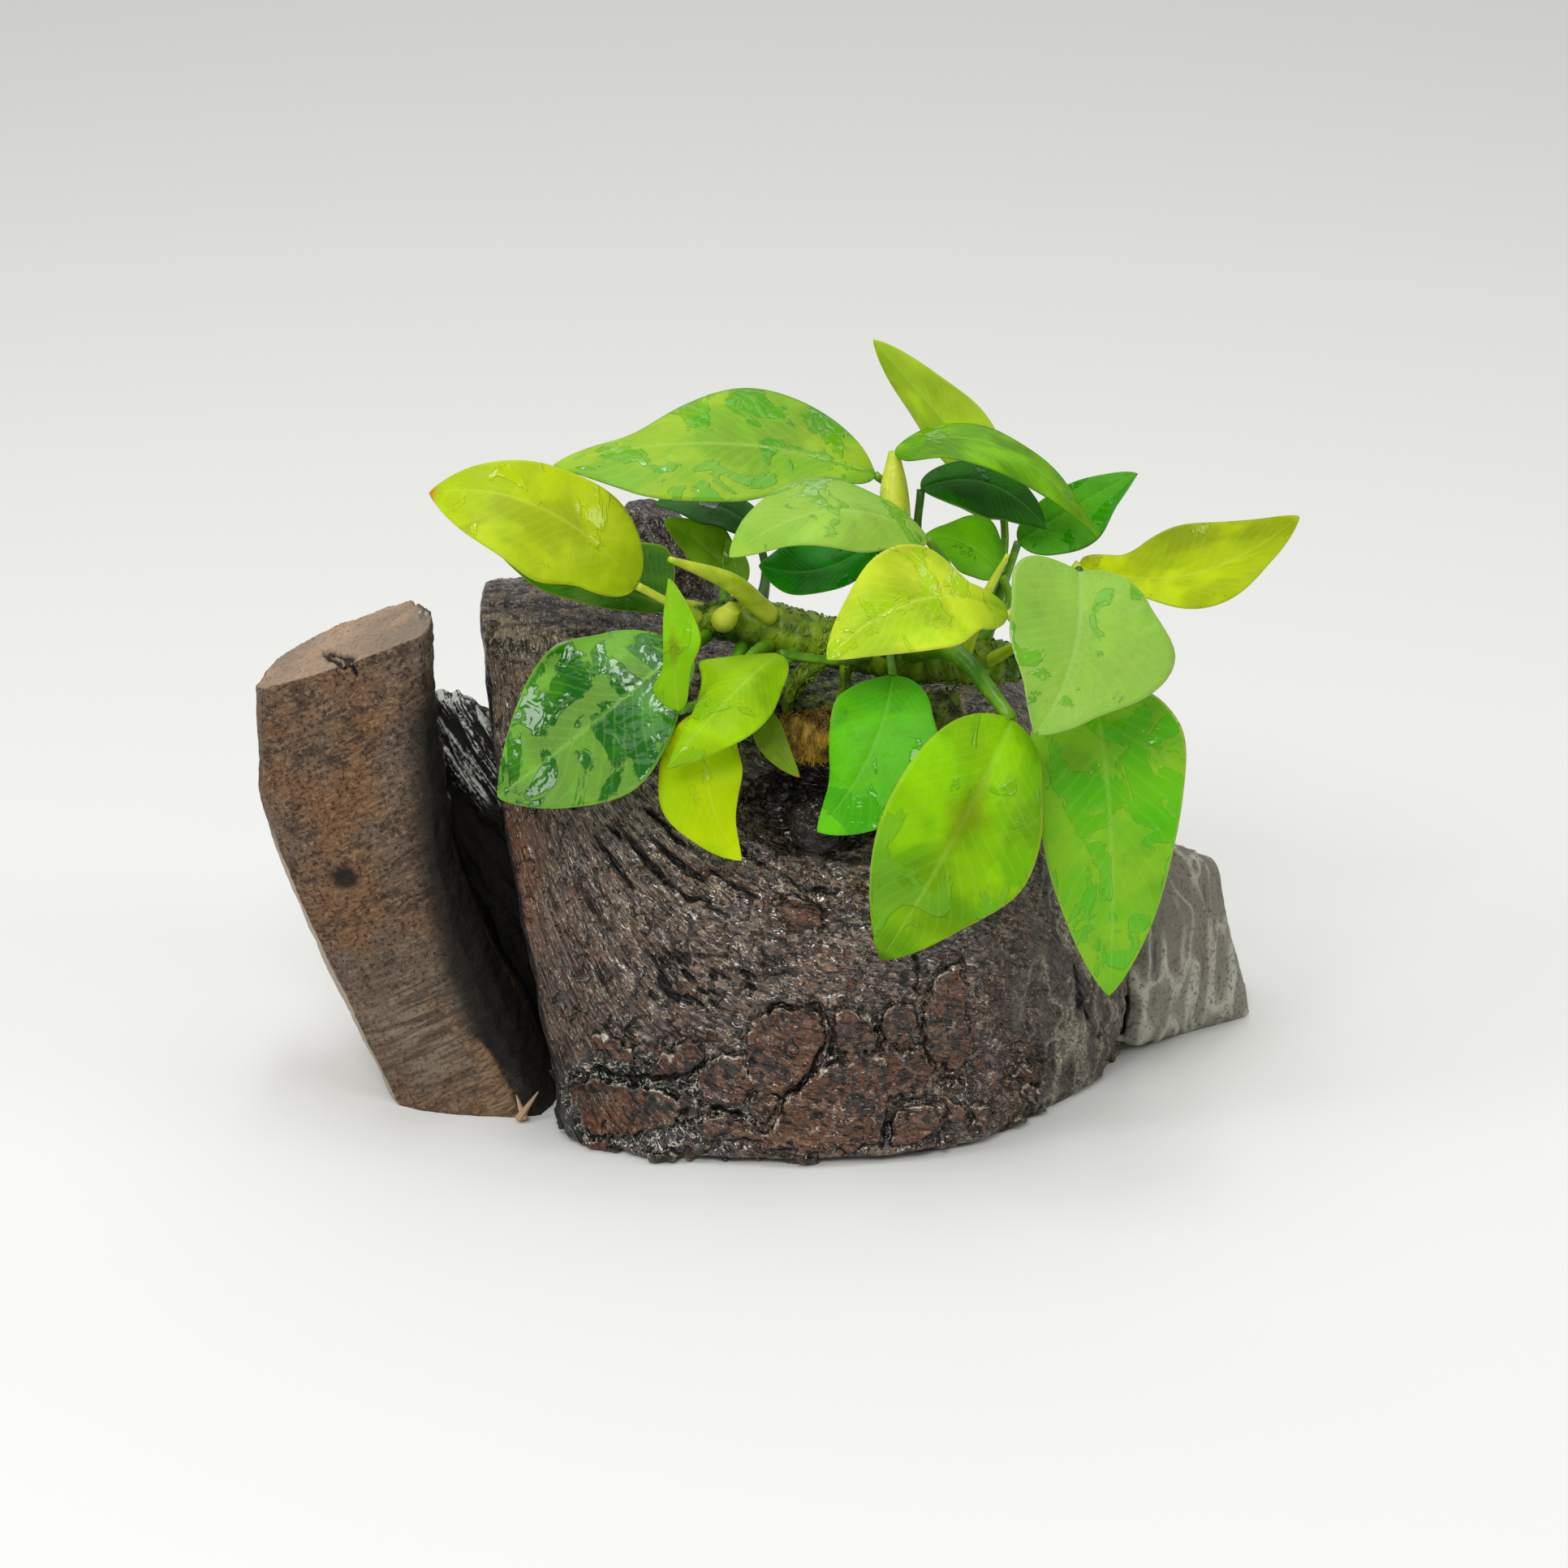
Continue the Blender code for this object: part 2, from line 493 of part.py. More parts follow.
def blade(name, leaf, where, finish):
    """A leaf blade: an open sheet along its midrib, made solid."""
    mesh = bmesh.new()
    rows = []
    for row in range(BLADE_STEPS_LONG + 1):
        place = (row + BLADE_INSET) / (BLADE_STEPS_LONG + 2 * BLADE_INSET)
        t = 0.5 - 0.5 * math.cos(math.pi * place)
        rows.append([
            mesh.verts.new(blade_point(leaf, t, 2 * column / BLADE_STEPS_WIDE - 1) * MM)
            for column in range(BLADE_STEPS_WIDE + 1)
        ])
    for lower, upper in zip(rows, rows[1:]):
        for column in range(BLADE_STEPS_WIDE):
            mesh.faces.new((lower[column], lower[column + 1], upper[column + 1], upper[column]))
    data = bpy.data.meshes.new(name)
    mesh.to_mesh(data)
    mesh.free()
    made = new_object(name, data, where, finish)
    thick = made.modifiers.new("thickness", "SOLIDIFY")
    thick.thickness = BLADE_THICKNESS * MM
    thick.offset = 0
    settle(made)
    return made


def leaf_finish(key):
    if key in YELLOW_LEAVES:
        return "leaf_yellow"
    return "leaf_dark" if key in DARK_LEAVES else "leaf_green"


def stalk_path(leaf):
    base, along, _, _ = rib_frame(leaf, 0)
    root, bend = leaf["stalk"]
    return smooth_path((root, bend, base - along * NECK_GAP), STALK_POINTS)


def wood_relief(place):
    """Low waves along the grain, and gum-like plates low on the block's front."""
    grain = math.sin(place.z * 0.55 + place.x * 0.22) * math.sin(place.x * 0.31 + 1.0)
    plates = math.sin(place.x * 0.42 + 0.6) * math.sin(place.z * 0.5 + place.x * 0.1)
    low = max(0.0, 1 - place.z / PLATES_END)
    return GRAIN_DEPTH * grain + PLATE_DEPTH * plates * low


def limb_relief(place):
    """Ribs that run up a limb."""
    return RIB_DEPTH * math.sin(place.x * 0.7 + place.y * 0.5 + place.z * 0.05)


def build_rhizome(parts):
    path = smooth_path(RHIZOME_POINTS, RHIZOME_STEPS)
    return tube("rhizome", path, RHIZOME_RADII, parts, "root_green", RHIZOME_ROUND)


def build_wood(parts, cutters, rhizome):
    block = loft("driftwood_block", station_rings(BLOCK_STATIONS, *BLOCK_GRID), parts,
                 "wet_wood", wood_relief)
    combine(block, ellipsoid("hollow", *HOLLOW, cutters), "DIFFERENCE")
    combine(block, ellipsoid("notch", *NOTCH, cutters), "DIFFERENCE")
    combine(block, ellipsoid("knot", *KNOT, cutters), "UNION")
    combine(block, as_cutter(rhizome, cutters), "DIFFERENCE")
    saw(block, FLOOR)
    shell = as_cutter(block, cutters)
    left = loft("driftwood_left_limb", limb_rings(LEFT_LIMB_RINGS, *LEFT_LIMB_GRID), parts,
                "dry_wood", limb_relief)
    saw(left, SAW_CUT)
    web = loft("web", station_rings(WEB_STATIONS, *WEB_GRID), cutters, "wet_wood", limb_relief)
    hide(web)
    combine(left, web, "UNION")
    back = loft("driftwood_back_limb", limb_rings(BACK_LIMB_RINGS, *BACK_LIMB_GRID), parts,
                "wet_wood")
    tail = loft("driftwood_tail", station_rings(TAIL_STATIONS, *TAIL_GRID), parts, "dry_wood",
                limb_relief)
    for piece in (left, back, tail):
        combine(piece, shell, "DIFFERENCE")
        saw(piece, FLOOR)
    return block


def build_roots(parts, cutters, rhizome_shell, wood_shell):
    path = smooth_path(MAT_POINTS, MAT_STEPS)
    mat = tube("root_mat", path, MAT_RADII, parts, "root_mat", MAT_ROUND)
    combine(mat, rhizome_shell, "DIFFERENCE")
    combine(mat, wood_shell, "DIFFERENCE")
    for name, points in ROOTS.items():
        path = smooth_path(points, ROOT_POINTS)
        root = tube(name, path, ROOT_RADII, parts, "root_green")
        combine(root, rhizome_shell, "DIFFERENCE")
        combine(root, wood_shell, "DIFFERENCE")
        combine(mat, as_cutter(root, cutters), "DIFFERENCE")


def build_shoots(parts, rhizome_shell):
    for name, (points, radii) in SHOOTS.items():
        shoot = tube(name, smooth_path(points, SHOOT_POINTS), radii, parts, "leaf_yellow")
        combine(shoot, rhizome_shell, "DIFFERENCE")


def build_leaves(parts, rhizome_shell):
    for key, leaf in LEAVES.items():
        blade("leaf_" + key, leaf, parts, leaf_finish(key))
        radii = leaf.get("stalk_radii", STALK_RADII)
        stalk = tube("stalk_" + key, stalk_path(leaf), radii, parts, "stalk_green")
        combine(stalk, rhizome_shell, "DIFFERENCE")


def centre(things):
    """Moves the shapes so that the middle of their common box stands over the origin."""
    spots = [vertex.co for thing in things for vertex in thing.data.vertices]
    middle = [(min(s[axis] for s in spots) + max(s[axis] for s in spots)) / 2 for axis in (0, 1)]
    for thing in things:
        thing.data.transform(Matrix.Translation((-middle[0], -middle[1], 0)))


def main():
    clear_scene()
    parts = collection(PARTS)
    cutters = collection(CUTTERS)
    rhizome = build_rhizome(parts)
    block = build_wood(parts, cutters, rhizome)
    rhizome_shell = as_cutter(rhizome, cutters)
    wood_shell = as_cutter(block, cutters)
    build_roots(parts, cutters, rhizome_shell, wood_shell)
    build_shoots(parts, rhizome_shell)
    build_leaves(parts, rhizome_shell)
    centre(parts.objects)


main()
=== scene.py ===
# %% [markdown]
# # Anubias on driftwood
# A clump of small-leaved anubias grows on a forked piece of dark driftwood. The solids of
# every piece come in as a frame. They could be painted as they are, but their large facets
# would show. So this lesson dresses them: it refines the wood, lays fine leaf blades on the
# same midribs as the solids, and gives each surface its own finish.

# %% Load the frame
import math
import random

import bpy
import numpy as np
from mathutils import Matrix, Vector


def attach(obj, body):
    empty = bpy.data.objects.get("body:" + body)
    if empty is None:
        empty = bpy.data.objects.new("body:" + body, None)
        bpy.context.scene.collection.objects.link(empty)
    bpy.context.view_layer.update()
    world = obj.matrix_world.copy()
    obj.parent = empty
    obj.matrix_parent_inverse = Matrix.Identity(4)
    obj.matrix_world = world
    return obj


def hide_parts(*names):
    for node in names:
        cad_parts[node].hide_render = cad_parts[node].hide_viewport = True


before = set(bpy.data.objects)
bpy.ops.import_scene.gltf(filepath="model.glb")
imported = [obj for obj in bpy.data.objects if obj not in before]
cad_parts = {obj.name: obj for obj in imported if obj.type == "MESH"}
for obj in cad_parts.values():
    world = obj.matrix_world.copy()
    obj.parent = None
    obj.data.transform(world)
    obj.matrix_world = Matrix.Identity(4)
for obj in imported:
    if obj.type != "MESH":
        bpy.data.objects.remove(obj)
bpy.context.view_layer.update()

print("solids:", len(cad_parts))

# %% [markdown]
# ## Measures and small helpers
# Lengths in the tables are millimetres, because a leaf is easier to think of in those. The
# tables were drawn with the middle of the wood's crown near zero, so everything moves by one
# shift to stand over the frame's origin. The helpers do what is done again and again by hand:
# select one piece, apply a modifier, merge points that lie on each other, and read or move
# all the points of a mesh at once.

# %% Measures
MM = 0.001
SHIFT = Vector((-0.665, 1.767, 0))
BODY = "root"
print("tables move by", tuple(SHIFT), "mm")

# %% Helpers for pieces
def deselect():
    """Selects nothing, because an operator acts on all that is selected."""
    bpy.ops.object.select_all(action="DESELECT")


def make_active(piece):
    deselect()
    piece.select_set(True)
    bpy.context.view_layer.objects.active = piece


def apply_modifier(piece, name, kind, **settings):
    """Adds a modifier, sets it and applies it, as by hand."""
    modifier = piece.modifiers.new(name, kind)
    for key, value in settings.items():
        setattr(modifier, key, value)
    make_active(piece)
    bpy.ops.object.modifier_apply(modifier=modifier.name)


def weld(reach, outward=False):
    """Merges the active piece's points that lie closer than reach metres."""
    bpy.ops.object.mode_set(mode="EDIT")
    bpy.ops.mesh.select_all(action="SELECT")
    bpy.ops.mesh.remove_doubles(threshold=reach)
    if outward:
        bpy.ops.mesh.normals_make_consistent(inside=False)
    bpy.ops.object.mode_set(mode="OBJECT")


print("selected after loading:", len(bpy.context.selected_objects))

# %% [markdown]
# ## Points in bulk
# A piece of wood has a hundred thousand points and more. A loop over them one by one would
# take minutes. Read into one array, they all move in a single sum. A number can also be kept
# with each point, so that the finish later knows what the carving did there.

# %% Helpers for points
def points_of(mesh):
    flat = np.empty(len(mesh.vertices) * 3)
    mesh.vertices.foreach_get("co", flat)
    return flat.reshape(-1, 3)


def normals_of(mesh):
    flat = np.empty(len(mesh.vertices) * 3, np.float32)
    mesh.vertex_normals.foreach_get("vector", flat)
    return flat.reshape(-1, 3).astype(float)


def move_points(mesh, points):
    mesh.vertices.foreach_set("co", points.astype(np.float32).ravel())
    mesh.update()


def keep_values(piece, name, values):
    """Stores one number for each point of a piece, for its finish to read."""
    layer = piece.data.attributes.new(name, "FLOAT", "POINT")
    layer.data.foreach_set("value", values.astype(np.float32))


def finished(piece, node):
    """Smooth shading, and the piece takes the place of its solid."""
    make_active(piece)
    bpy.ops.object.shade_smooth()
    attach(piece, BODY)
    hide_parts(node)


print("points of the block's solid:", len(points_of(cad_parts["driftwood_block"].data)))

# %% [markdown]
# ## Camera
# The photo looks down by 22 degrees through a long lens, square on to the wood. A camera could
# be placed by eye. Here the angle comes from the oval of the sawn foot and the distance from
# how the near and far ends differ in size. The same numbers then tell where each point of the
# wood lies in the picture, which helps to put every mark in its place.

# %% Camera
VIEW_DOWN = math.radians(22)
VIEW_DISTANCE = 675
VIEW_TARGET = Vector((1.3, 0, 54.6))
LENS = 85
SENSOR = 36
PHOTO_SIDE = 1932

camera_data = bpy.data.cameras.new("camera")
camera_data.lens = LENS
camera_data.sensor_width = SENSOR
camera_data.clip_start = 0.01
camera_data.clip_end = 20
camera = bpy.data.objects.new("camera", camera_data)
bpy.context.scene.collection.objects.link(camera)
away = Vector((0, -math.cos(VIEW_DOWN), math.sin(VIEW_DOWN)))
camera.location = (VIEW_TARGET + SHIFT + away * VIEW_DISTANCE) * MM
camera.rotation_euler = (math.pi / 2 - VIEW_DOWN, 0, 0)
bpy.context.scene.camera = camera


def photo_spots(points):
    """Where points, in the tables' millimetres, lie in the picture: right and down."""
    focus = LENS / SENSOR * PHOTO_SIDE
    reach = points - np.array(VIEW_TARGET)
    depth = VIEW_DISTANCE + reach[:, 1] * math.cos(VIEW_DOWN) - reach[:, 2] * math.sin(VIEW_DOWN)
    rise = reach[:, 2] * math.cos(VIEW_DOWN) + reach[:, 1] * math.sin(VIEW_DOWN)
    half = PHOTO_SIDE / 2
    return np.column_stack((half + focus * reach[:, 0] / depth, half - focus * rise / depth))


print("camera at", tuple(round(v, 3) for v in camera.location))

# %% [markdown]
# ## Floor and light
# The set is a plain white sweep. One bare lamp would throw hard shadows, so a big soft light
# hangs overhead and the sky around is white too. A narrow strip above and a panel in front
# give wet wood and leaves something bright to mirror, a window on each side lifts the shadows,
# and one more light keeps the far floor white.

# %% Floor and light
WHITE = (0.71, 0.71, 0.695, 1)
FLOOR_SIZE = 6
FLOOR_BACK = 1.5

deselect()
bpy.ops.mesh.primitive_plane_add(size=FLOOR_SIZE, location=(0, FLOOR_BACK, 0))
floor = bpy.context.object
floor.name = "floor"
bpy.ops.object.transform_apply()
floor_finish = bpy.data.materials.new("white sweep")
floor_finish.use_nodes = True
floor_finish.node_tree.nodes["Principled BSDF"].inputs["Base Color"].default_value = WHITE
floor_finish.node_tree.nodes["Principled BSDF"].inputs["Roughness"].default_value = 0.9
floor.data.materials.append(floor_finish)


def soft_light(name, spot, size, power, aim=(0, 0, 0.05)):
    """A flat rectangular light at a spot, turned towards what it is aimed at."""
    data = bpy.data.lights.new(name, "AREA")
    data.shape = "RECTANGLE"
    data.size, data.size_y = size
    data.energy = power
    light = bpy.data.objects.new(name, data)
    bpy.context.scene.collection.objects.link(light)
    light.location = spot
    light.rotation_euler = (Vector(aim) - Vector(spot)).to_track_quat("-Z", "Y").to_euler()


soft_light("overhead", (0.0, 0.25, 1.6), (1.6, 1.2), 8.6, (0, 0.25, 0))
soft_light("strip", (-0.05, 0.0, 0.95), (0.5, 0.1), 1.6)
soft_light("sweep", (0.0, 2.1, 1.5), (2.4, 1.0), 11, (0, 2.1, 0))
soft_light("front", (-0.2, -0.8, 0.85), (0.6, 0.32), 5.4)
soft_light("left window", (-0.9, -0.35, 0.65), (0.3, 0.4), 2.6)
soft_light("right window", (0.95, -0.2, 0.6), (0.3, 0.4), 1.8)

world = bpy.data.worlds.new("studio")
world.use_nodes = True
sky = world.node_tree.nodes["Background"]
sky.inputs["Color"].default_value = (0.97, 0.965, 0.94, 1)
sky.inputs["Strength"].default_value = 0.4
bpy.context.scene.world = world
bpy.context.scene.view_settings.view_transform = "Standard"
print("lights:", len(bpy.data.lights))

# %% [markdown]
# ## Noise to carve with
# Driftwood has relief at every size. It could be sculpted by hand or moved by a texture in a
# Displace modifier. Noise worked out in code gives the same relief each time, and it can be
# stretched along the grain. The next helpers give smooth noise for many points at once, noise
# with finer noise on it, and soft steps from one value to another.

# %% Noise
CELL_PRIMES = np.array((73856093, 19349663, 83492791))
SEED_PRIME = 7919
MIX_PRIME = 1274126177


def smooth_noise(points, seed):
    """Smooth noise from -1 to 1 at each point, with about one bump a unit.

    Each corner of a grid of cubes gets a number scrambled from its place by large primes,
    and a point blends the numbers of the eight corners round it."""
    cell = np.floor(points).astype(np.int64)
    share = points - cell
    share = share * share * (3 - 2 * share)
    total = np.zeros(len(points))
    for corner in np.ndindex(2, 2, 2):
        code = (cell + corner) @ CELL_PRIMES + seed * SEED_PRIME
        code = ((code ^ (code >> 13)) * MIX_PRIME) & 0xFFFFFFFF
        value = (code ^ (code >> 16)) % 10007 / 5003 - 1
        total += value * np.prod(np.where(corner, share, 1 - share), axis=1)
    return total


def layered_noise(points, seed, layers=3):
    """Noise with finer and weaker noise on it."""
    return sum(smooth_noise(points * 2 ** n, seed + n) / 2 ** n for n in range(layers)) / 1.6


def soft_step(low, high, values):
    """0 at low and 1 at high, with a smooth rise between. It falls where low is the larger."""
    share = np.clip((values - low) / (high - low), 0, 1)
    return share * share * (3 - 2 * share)


def blob(spots, centre, size):
    """1 at the centre of an oval, fading to 0 round it."""
    return np.exp(-(((spots - centre) / size) ** 2).sum(axis=1))


corner_test = smooth_noise(np.zeros((1, 3)), 1)
print("noise at the origin:", round(float(corner_test[0]), 3))

# %% [markdown]
# ## Marks on the wood
# Some marks are so plain that they need their own place: the raised plates low on the front, and
# the grooves between them, which the finish fills with black painted shade. Noise alone would put
# them anywhere. So each is an outline or a line in the picture's pixels, and only the side of the
# wood that faces the picture is carved with it. A groove is a line, its width in pixels and its
# depth.

# %% Marks on the wood
def distance_to_line(spots, line):
    """How far each spot is from a line through several corners."""
    nearest = np.full(len(spots), np.inf)
    for start, end in zip(np.array(line, float), np.array(line, float)[1:]):
        span = end - start
        share = np.clip(((spots - start) @ span) / (span @ span), 0, 1)
        away = np.linalg.norm(spots - start - share[:, None] * span, axis=1)
        nearest = np.minimum(nearest, away)
    return nearest


def depth_in_outline(spots, outline):
    """How far each spot lies inside an outline, and less than 0 outside it."""
    corners = np.array(outline, float)
    inside = np.zeros(len(spots), bool)
    for (x0, y0), (x1, y1) in zip(corners, np.roll(corners, -1, axis=0)):
        crosses = (y0 > spots[:, 1]) != (y1 > spots[:, 1])
        reach = x0 + (spots[:, 1] - y0) * (x1 - x0) / (y1 - y0 if y1 != y0 else 1)
        inside ^= crosses & (spots[:, 0] < reach)
    away = distance_to_line(spots, [*outline, outline[0]])
    return np.where(inside, away, -away)


PLATES = (
    ((700, 1335), (716, 1326), (745, 1328), (790, 1338), (822, 1345), (838, 1362), (836, 1385),
     (800, 1395), (760, 1400), (730, 1398), (712, 1375)),
    ((796, 1318), (815, 1303), (842, 1306), (848, 1322), (835, 1336), (806, 1338)),
    ((860, 1320), (885, 1300), (915, 1300), (925, 1330), (915, 1360), (880, 1362), (858, 1345)),
    ((918, 1300), (925, 1265), (950, 1245), (985, 1242), (1012, 1250), (1014, 1290),
     (998, 1325), (975, 1348), (940, 1345), (925, 1325)),
    ((927, 1352), (940, 1345), (958, 1352), (955, 1372), (938, 1380), (926, 1370)),
    ((975, 1350), (1000, 1325), (1040, 1308), (1085, 1303), (1096, 1330), (1090, 1380),
     (1080, 1412), (1000, 1418), (955, 1408), (958, 1380)),
    ((1030, 1245), (1048, 1240), (1062, 1255), (1080, 1258), (1078, 1292), (1032, 1294)),
    ((1140, 1290), (1138, 1240), (1155, 1205), (1180, 1185), (1188, 1210), (1186, 1250),
     (1200, 1292), (1185, 1310), (1150, 1306)),
    ((1085, 1250), (1105, 1235), (1125, 1240), (1130, 1262), (1110, 1290), (1090, 1280)),
    ((1102, 1312), (1135, 1290), (1150, 1315), (1140, 1350), (1110, 1356)),
    ((954, 1108), (985, 1108), (1010, 1122), (1015, 1142), (985, 1146), (965, 1132)),
    ((1100, 1372), (1150, 1362), (1160, 1390), (1130, 1412), (1098, 1410)),
    ((850, 1380), (890, 1373), (932, 1386), (925, 1400), (870, 1402)),
)
GROOVES = (
    (((735, 1318), (780, 1331), (830, 1330), (866, 1310)), 4, 1.3),
    (((1014, 1290), (1000, 1325), (965, 1352), (940, 1392)), 4.5, 1.3),
    (((735, 1000), (775, 1040), (815, 1085), (860, 1110), (898, 1132)), 3.5, 0.8),
    (((790, 985), (835, 1035), (885, 1080), (930, 1105)), 3.5, 0.8),
    (((700, 985), (740, 1045), (775, 1090)), 3, 0.5),
    (((880, 1000), (925, 1060), (985, 1095), (1060, 1098)), 3, 0.6),
    (((840, 1368), (880, 1366), (930, 1376)), 4, 1.2),
    (((925, 1262), (960, 1238), (1012, 1240), (1026, 1268), (1024, 1300)), 3, 0.9),
    (((1085, 1300), (1094, 1335), (1092, 1372), (1088, 1415)), 3, 0.7),
    (((1130, 1180), (1132, 1240), (1136, 1290)), 2.5, 0.6),
    (((1322, 1180), (1335, 1235), (1352, 1272), (1362, 1300)), 4, 0.9),
)
print("plates:", len(PLATES), "grooves:", len(GROOVES))


# %% [markdown]
# ## Refining the wood
# The solid of each piece of wood has large flat facets. Subdividing them would leave the same
# long thin faces, only smaller. So a copy of the solid is merged and rebuilt by a voxel remesh
# from small even faces, then smoothed, except near the floor and the saw cut, whose edges
# stay crisp. That gives enough points to carve the relief into.

# %% Refine a piece of wood
FLAT_REACH = 1.6
SMOOTH_ROUNDS = 14
LOOSE_LEVELS = 10
MERGE_REACH = 0.00001


def refined_wood(node, fine, saw=None):
    """A fine, smooth copy of a wooden solid. saw is a point and a direction that face it."""
    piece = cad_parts[node].copy()
    piece.data = piece.data.copy()
    piece.name = node + "_fine"
    piece.parent = None
    piece.hide_render = False
    bpy.context.scene.collection.objects.link(piece)
    make_active(piece)
    weld(MERGE_REACH)
    piece.data.remesh_voxel_size = fine * MM
    bpy.ops.object.voxel_remesh()
    spots = points_of(piece.data) / MM
    loose = soft_step(0.2, FLAT_REACH, spots[:, 2])
    if saw:
        loose = loose * soft_step(0.2, FLAT_REACH, (saw[0] - spots) @ saw[1])
    group = piece.vertex_groups.new(name="loose")
    for level in range(LOOSE_LEVELS + 1):
        members = np.flatnonzero(np.round(loose * LOOSE_LEVELS) == level)
        group.add(members.tolist(), level / LOOSE_LEVELS, "REPLACE")
    apply_modifier(piece, "smooth", "SMOOTH", factor=0.5, iterations=SMOOTH_ROUNDS,
                   vertex_group="loose")
    print(node, "points:", len(piece.data.vertices))
    return piece


print("flat edges kept within", FLAT_REACH, "mm")

# %% [markdown]
# ## Carving the wood
# Sculpting moves a surface in and out under a brush. The same is done here in one go: each
# piece has a function that says how far every point moves along its normal, and all points
# move together. Near the foot the relief fades out, so that the wood still stands flat. A
# decimate modifier then takes away faces where the surface is even.

# %% Carve a piece of wood
FOOT_HEIGHT = 1.2


def carve(piece, height, most_faces):
    """Moves a wooden piece's points along their normals and thins faces that lie flat."""
    spots = points_of(piece.data) / MM - np.array(SHIFT)
    facing = normals_of(piece.data)
    lift, values = height(spots, facing)
    lift *= soft_step(0, FOOT_HEIGHT, spots[:, 2])
    for name, amount in values.items():
        keep_values(piece, name, amount)
    moved = spots + facing * lift[:, None]
    moved[:, 2] = np.maximum(moved[:, 2], 0)
    move_points(piece.data, (moved + np.array(SHIFT)) * MM)
    faces = 2 * len(piece.data.polygons)
    if faces > most_faces:
        apply_modifier(piece, "thin", "DECIMATE", ratio=most_faces / faces)


def keep_grain(piece, across):
    """Stores where each point lies along, through and across the grain, in millimetres."""
    spots = points_of(piece.data) / MM - np.array(SHIFT)
    layer = piece.data.attributes.new("grain", "FLOAT_VECTOR", "POINT")
    rows = np.column_stack(across(spots))
    layer.data.foreach_set("vector", rows.astype(np.float32).ravel())


print("relief fades out below", FOOT_HEIGHT, "mm")

# %% [markdown]
# ## The block: grain and plates
# The block is the thick wet middle of the driftwood. Its grain sweeps down from the upper
# left, runs level across the front and turns down again at the right. Low on the front, flat
# plates of harder wood stand proud, with crumbs of the same between them. One number for each
# point says how far it lies inside a plate. The carving raises the plates by it now, and the
# finish draws their rims with it later, finer than the mesh could.

# %% Grain and plates of the block
BLOCK_FINE = 0.42
BLOCK_FACES = 190000
EDGE_REACH = 2.0
PIXELS_PER_MM = 6.76
FACING_LOW, FACING_HIGH = 0.05, 0.3


def block_grain(spots):
    """Along, through and across the grain. Level lines of the last one follow the sweep."""
    x, y, z = spots.T
    level = z - 40 * np.exp(-(x + 38) / 18) + 30 * np.exp((x - 60) / 12)
    return x, y, level


def picture_side(facing):
    """1 on the side that the picture shows, fading to 0."""
    towards = facing @ np.array(away)
    return soft_step(FACING_LOW, FACING_HIGH, towards)


def wandering(spots, size, seeds):
    """A sideways and a downward shift, so that no mark has a ruled edge."""
    return np.column_stack([smooth_noise(spots / size, seed) for seed in seeds])


def plate_edges(place, spots, seen):
    """How far each point lies inside a plate, in millimetres, and less than 0 outside."""
    edge = np.full(len(spots), -EDGE_REACH)
    for outline in PLATES:
        edge = np.maximum(edge, depth_in_outline(place, outline) / PIXELS_PER_MM)
    edge = (np.minimum(edge, EDGE_REACH) + EDGE_REACH) * seen - EDGE_REACH
    low = soft_step(38, 12, spots[:, 2]) * soft_step(-10, -30, spots[:, 1])
    crumbs = layered_noise(spots / 5.2 + wandering(spots, 3.1, (31, 32, 33)) * 0.35, 30)
    crumbs = np.clip((crumbs - 0.2) * 5, -EDGE_REACH, EDGE_REACH)
    return np.maximum(edge, (crumbs + EDGE_REACH) * low - EDGE_REACH)


print("voxel size of the block:", BLOCK_FINE, "mm")

# %% [markdown]
# ## The block: streaks, pits and grooves
# Water has eaten the soft wood out in long streaks, in a patch of small pits and along a few
# grooves. They could be cut one by one with a brush. Here the streaks and pits are noise that
# is drawn out along the grain and let in where the picture shows them, and the grooves
# follow their own lines, each broken here and there.

# %% Streaks, pits and grooves of the block
GROOVE_REACH = 3.0
PITS_SPOT, PITS_SIZE = (855, 1215), (75, 38)
UPPER_PITS_SPOT, UPPER_PITS_SIZE = (870, 1190), (120, 30)
STREAKS_SPOT, STREAKS_SIZE = (800, 1060), (130, 80)


def streaked(grain, place):
    streaks = soft_step(0.3, 0.75, smooth_noise(grain / (15, 8, 2.4), 4))
    return streaks * (blob(place, STREAKS_SPOT, STREAKS_SIZE) + 0.35)


def pitted(grain, place, seen):
    pits = soft_step(0.1, 0.45, smooth_noise(grain / (2.2, 2, 1.2), 5))
    share = blob(place, PITS_SPOT, PITS_SIZE) + 0.8 * blob(place, UPPER_PITS_SPOT, UPPER_PITS_SIZE)
    return pits * np.minimum(1, share) * seen


def grooved(place, spots, seen):
    """How deep the grooves cut at each point, and how many groove widths away they are."""
    cut = np.zeros(len(spots))
    groove = np.full(len(spots), GROOVE_REACH)
    gaps = 1.6 * soft_step(0.0, 0.6, smooth_noise(spots / 4.5, 44))
    for line, width, depth in GROOVES:
        far = distance_to_line(place, line) / width + gaps
        cut += depth * np.exp(-far ** 2) * seen
        groove = np.minimum(groove, far + GROOVE_REACH * (1 - seen))
    return cut, groove


print("pixels of the picture to a millimetre:", PIXELS_PER_MM)
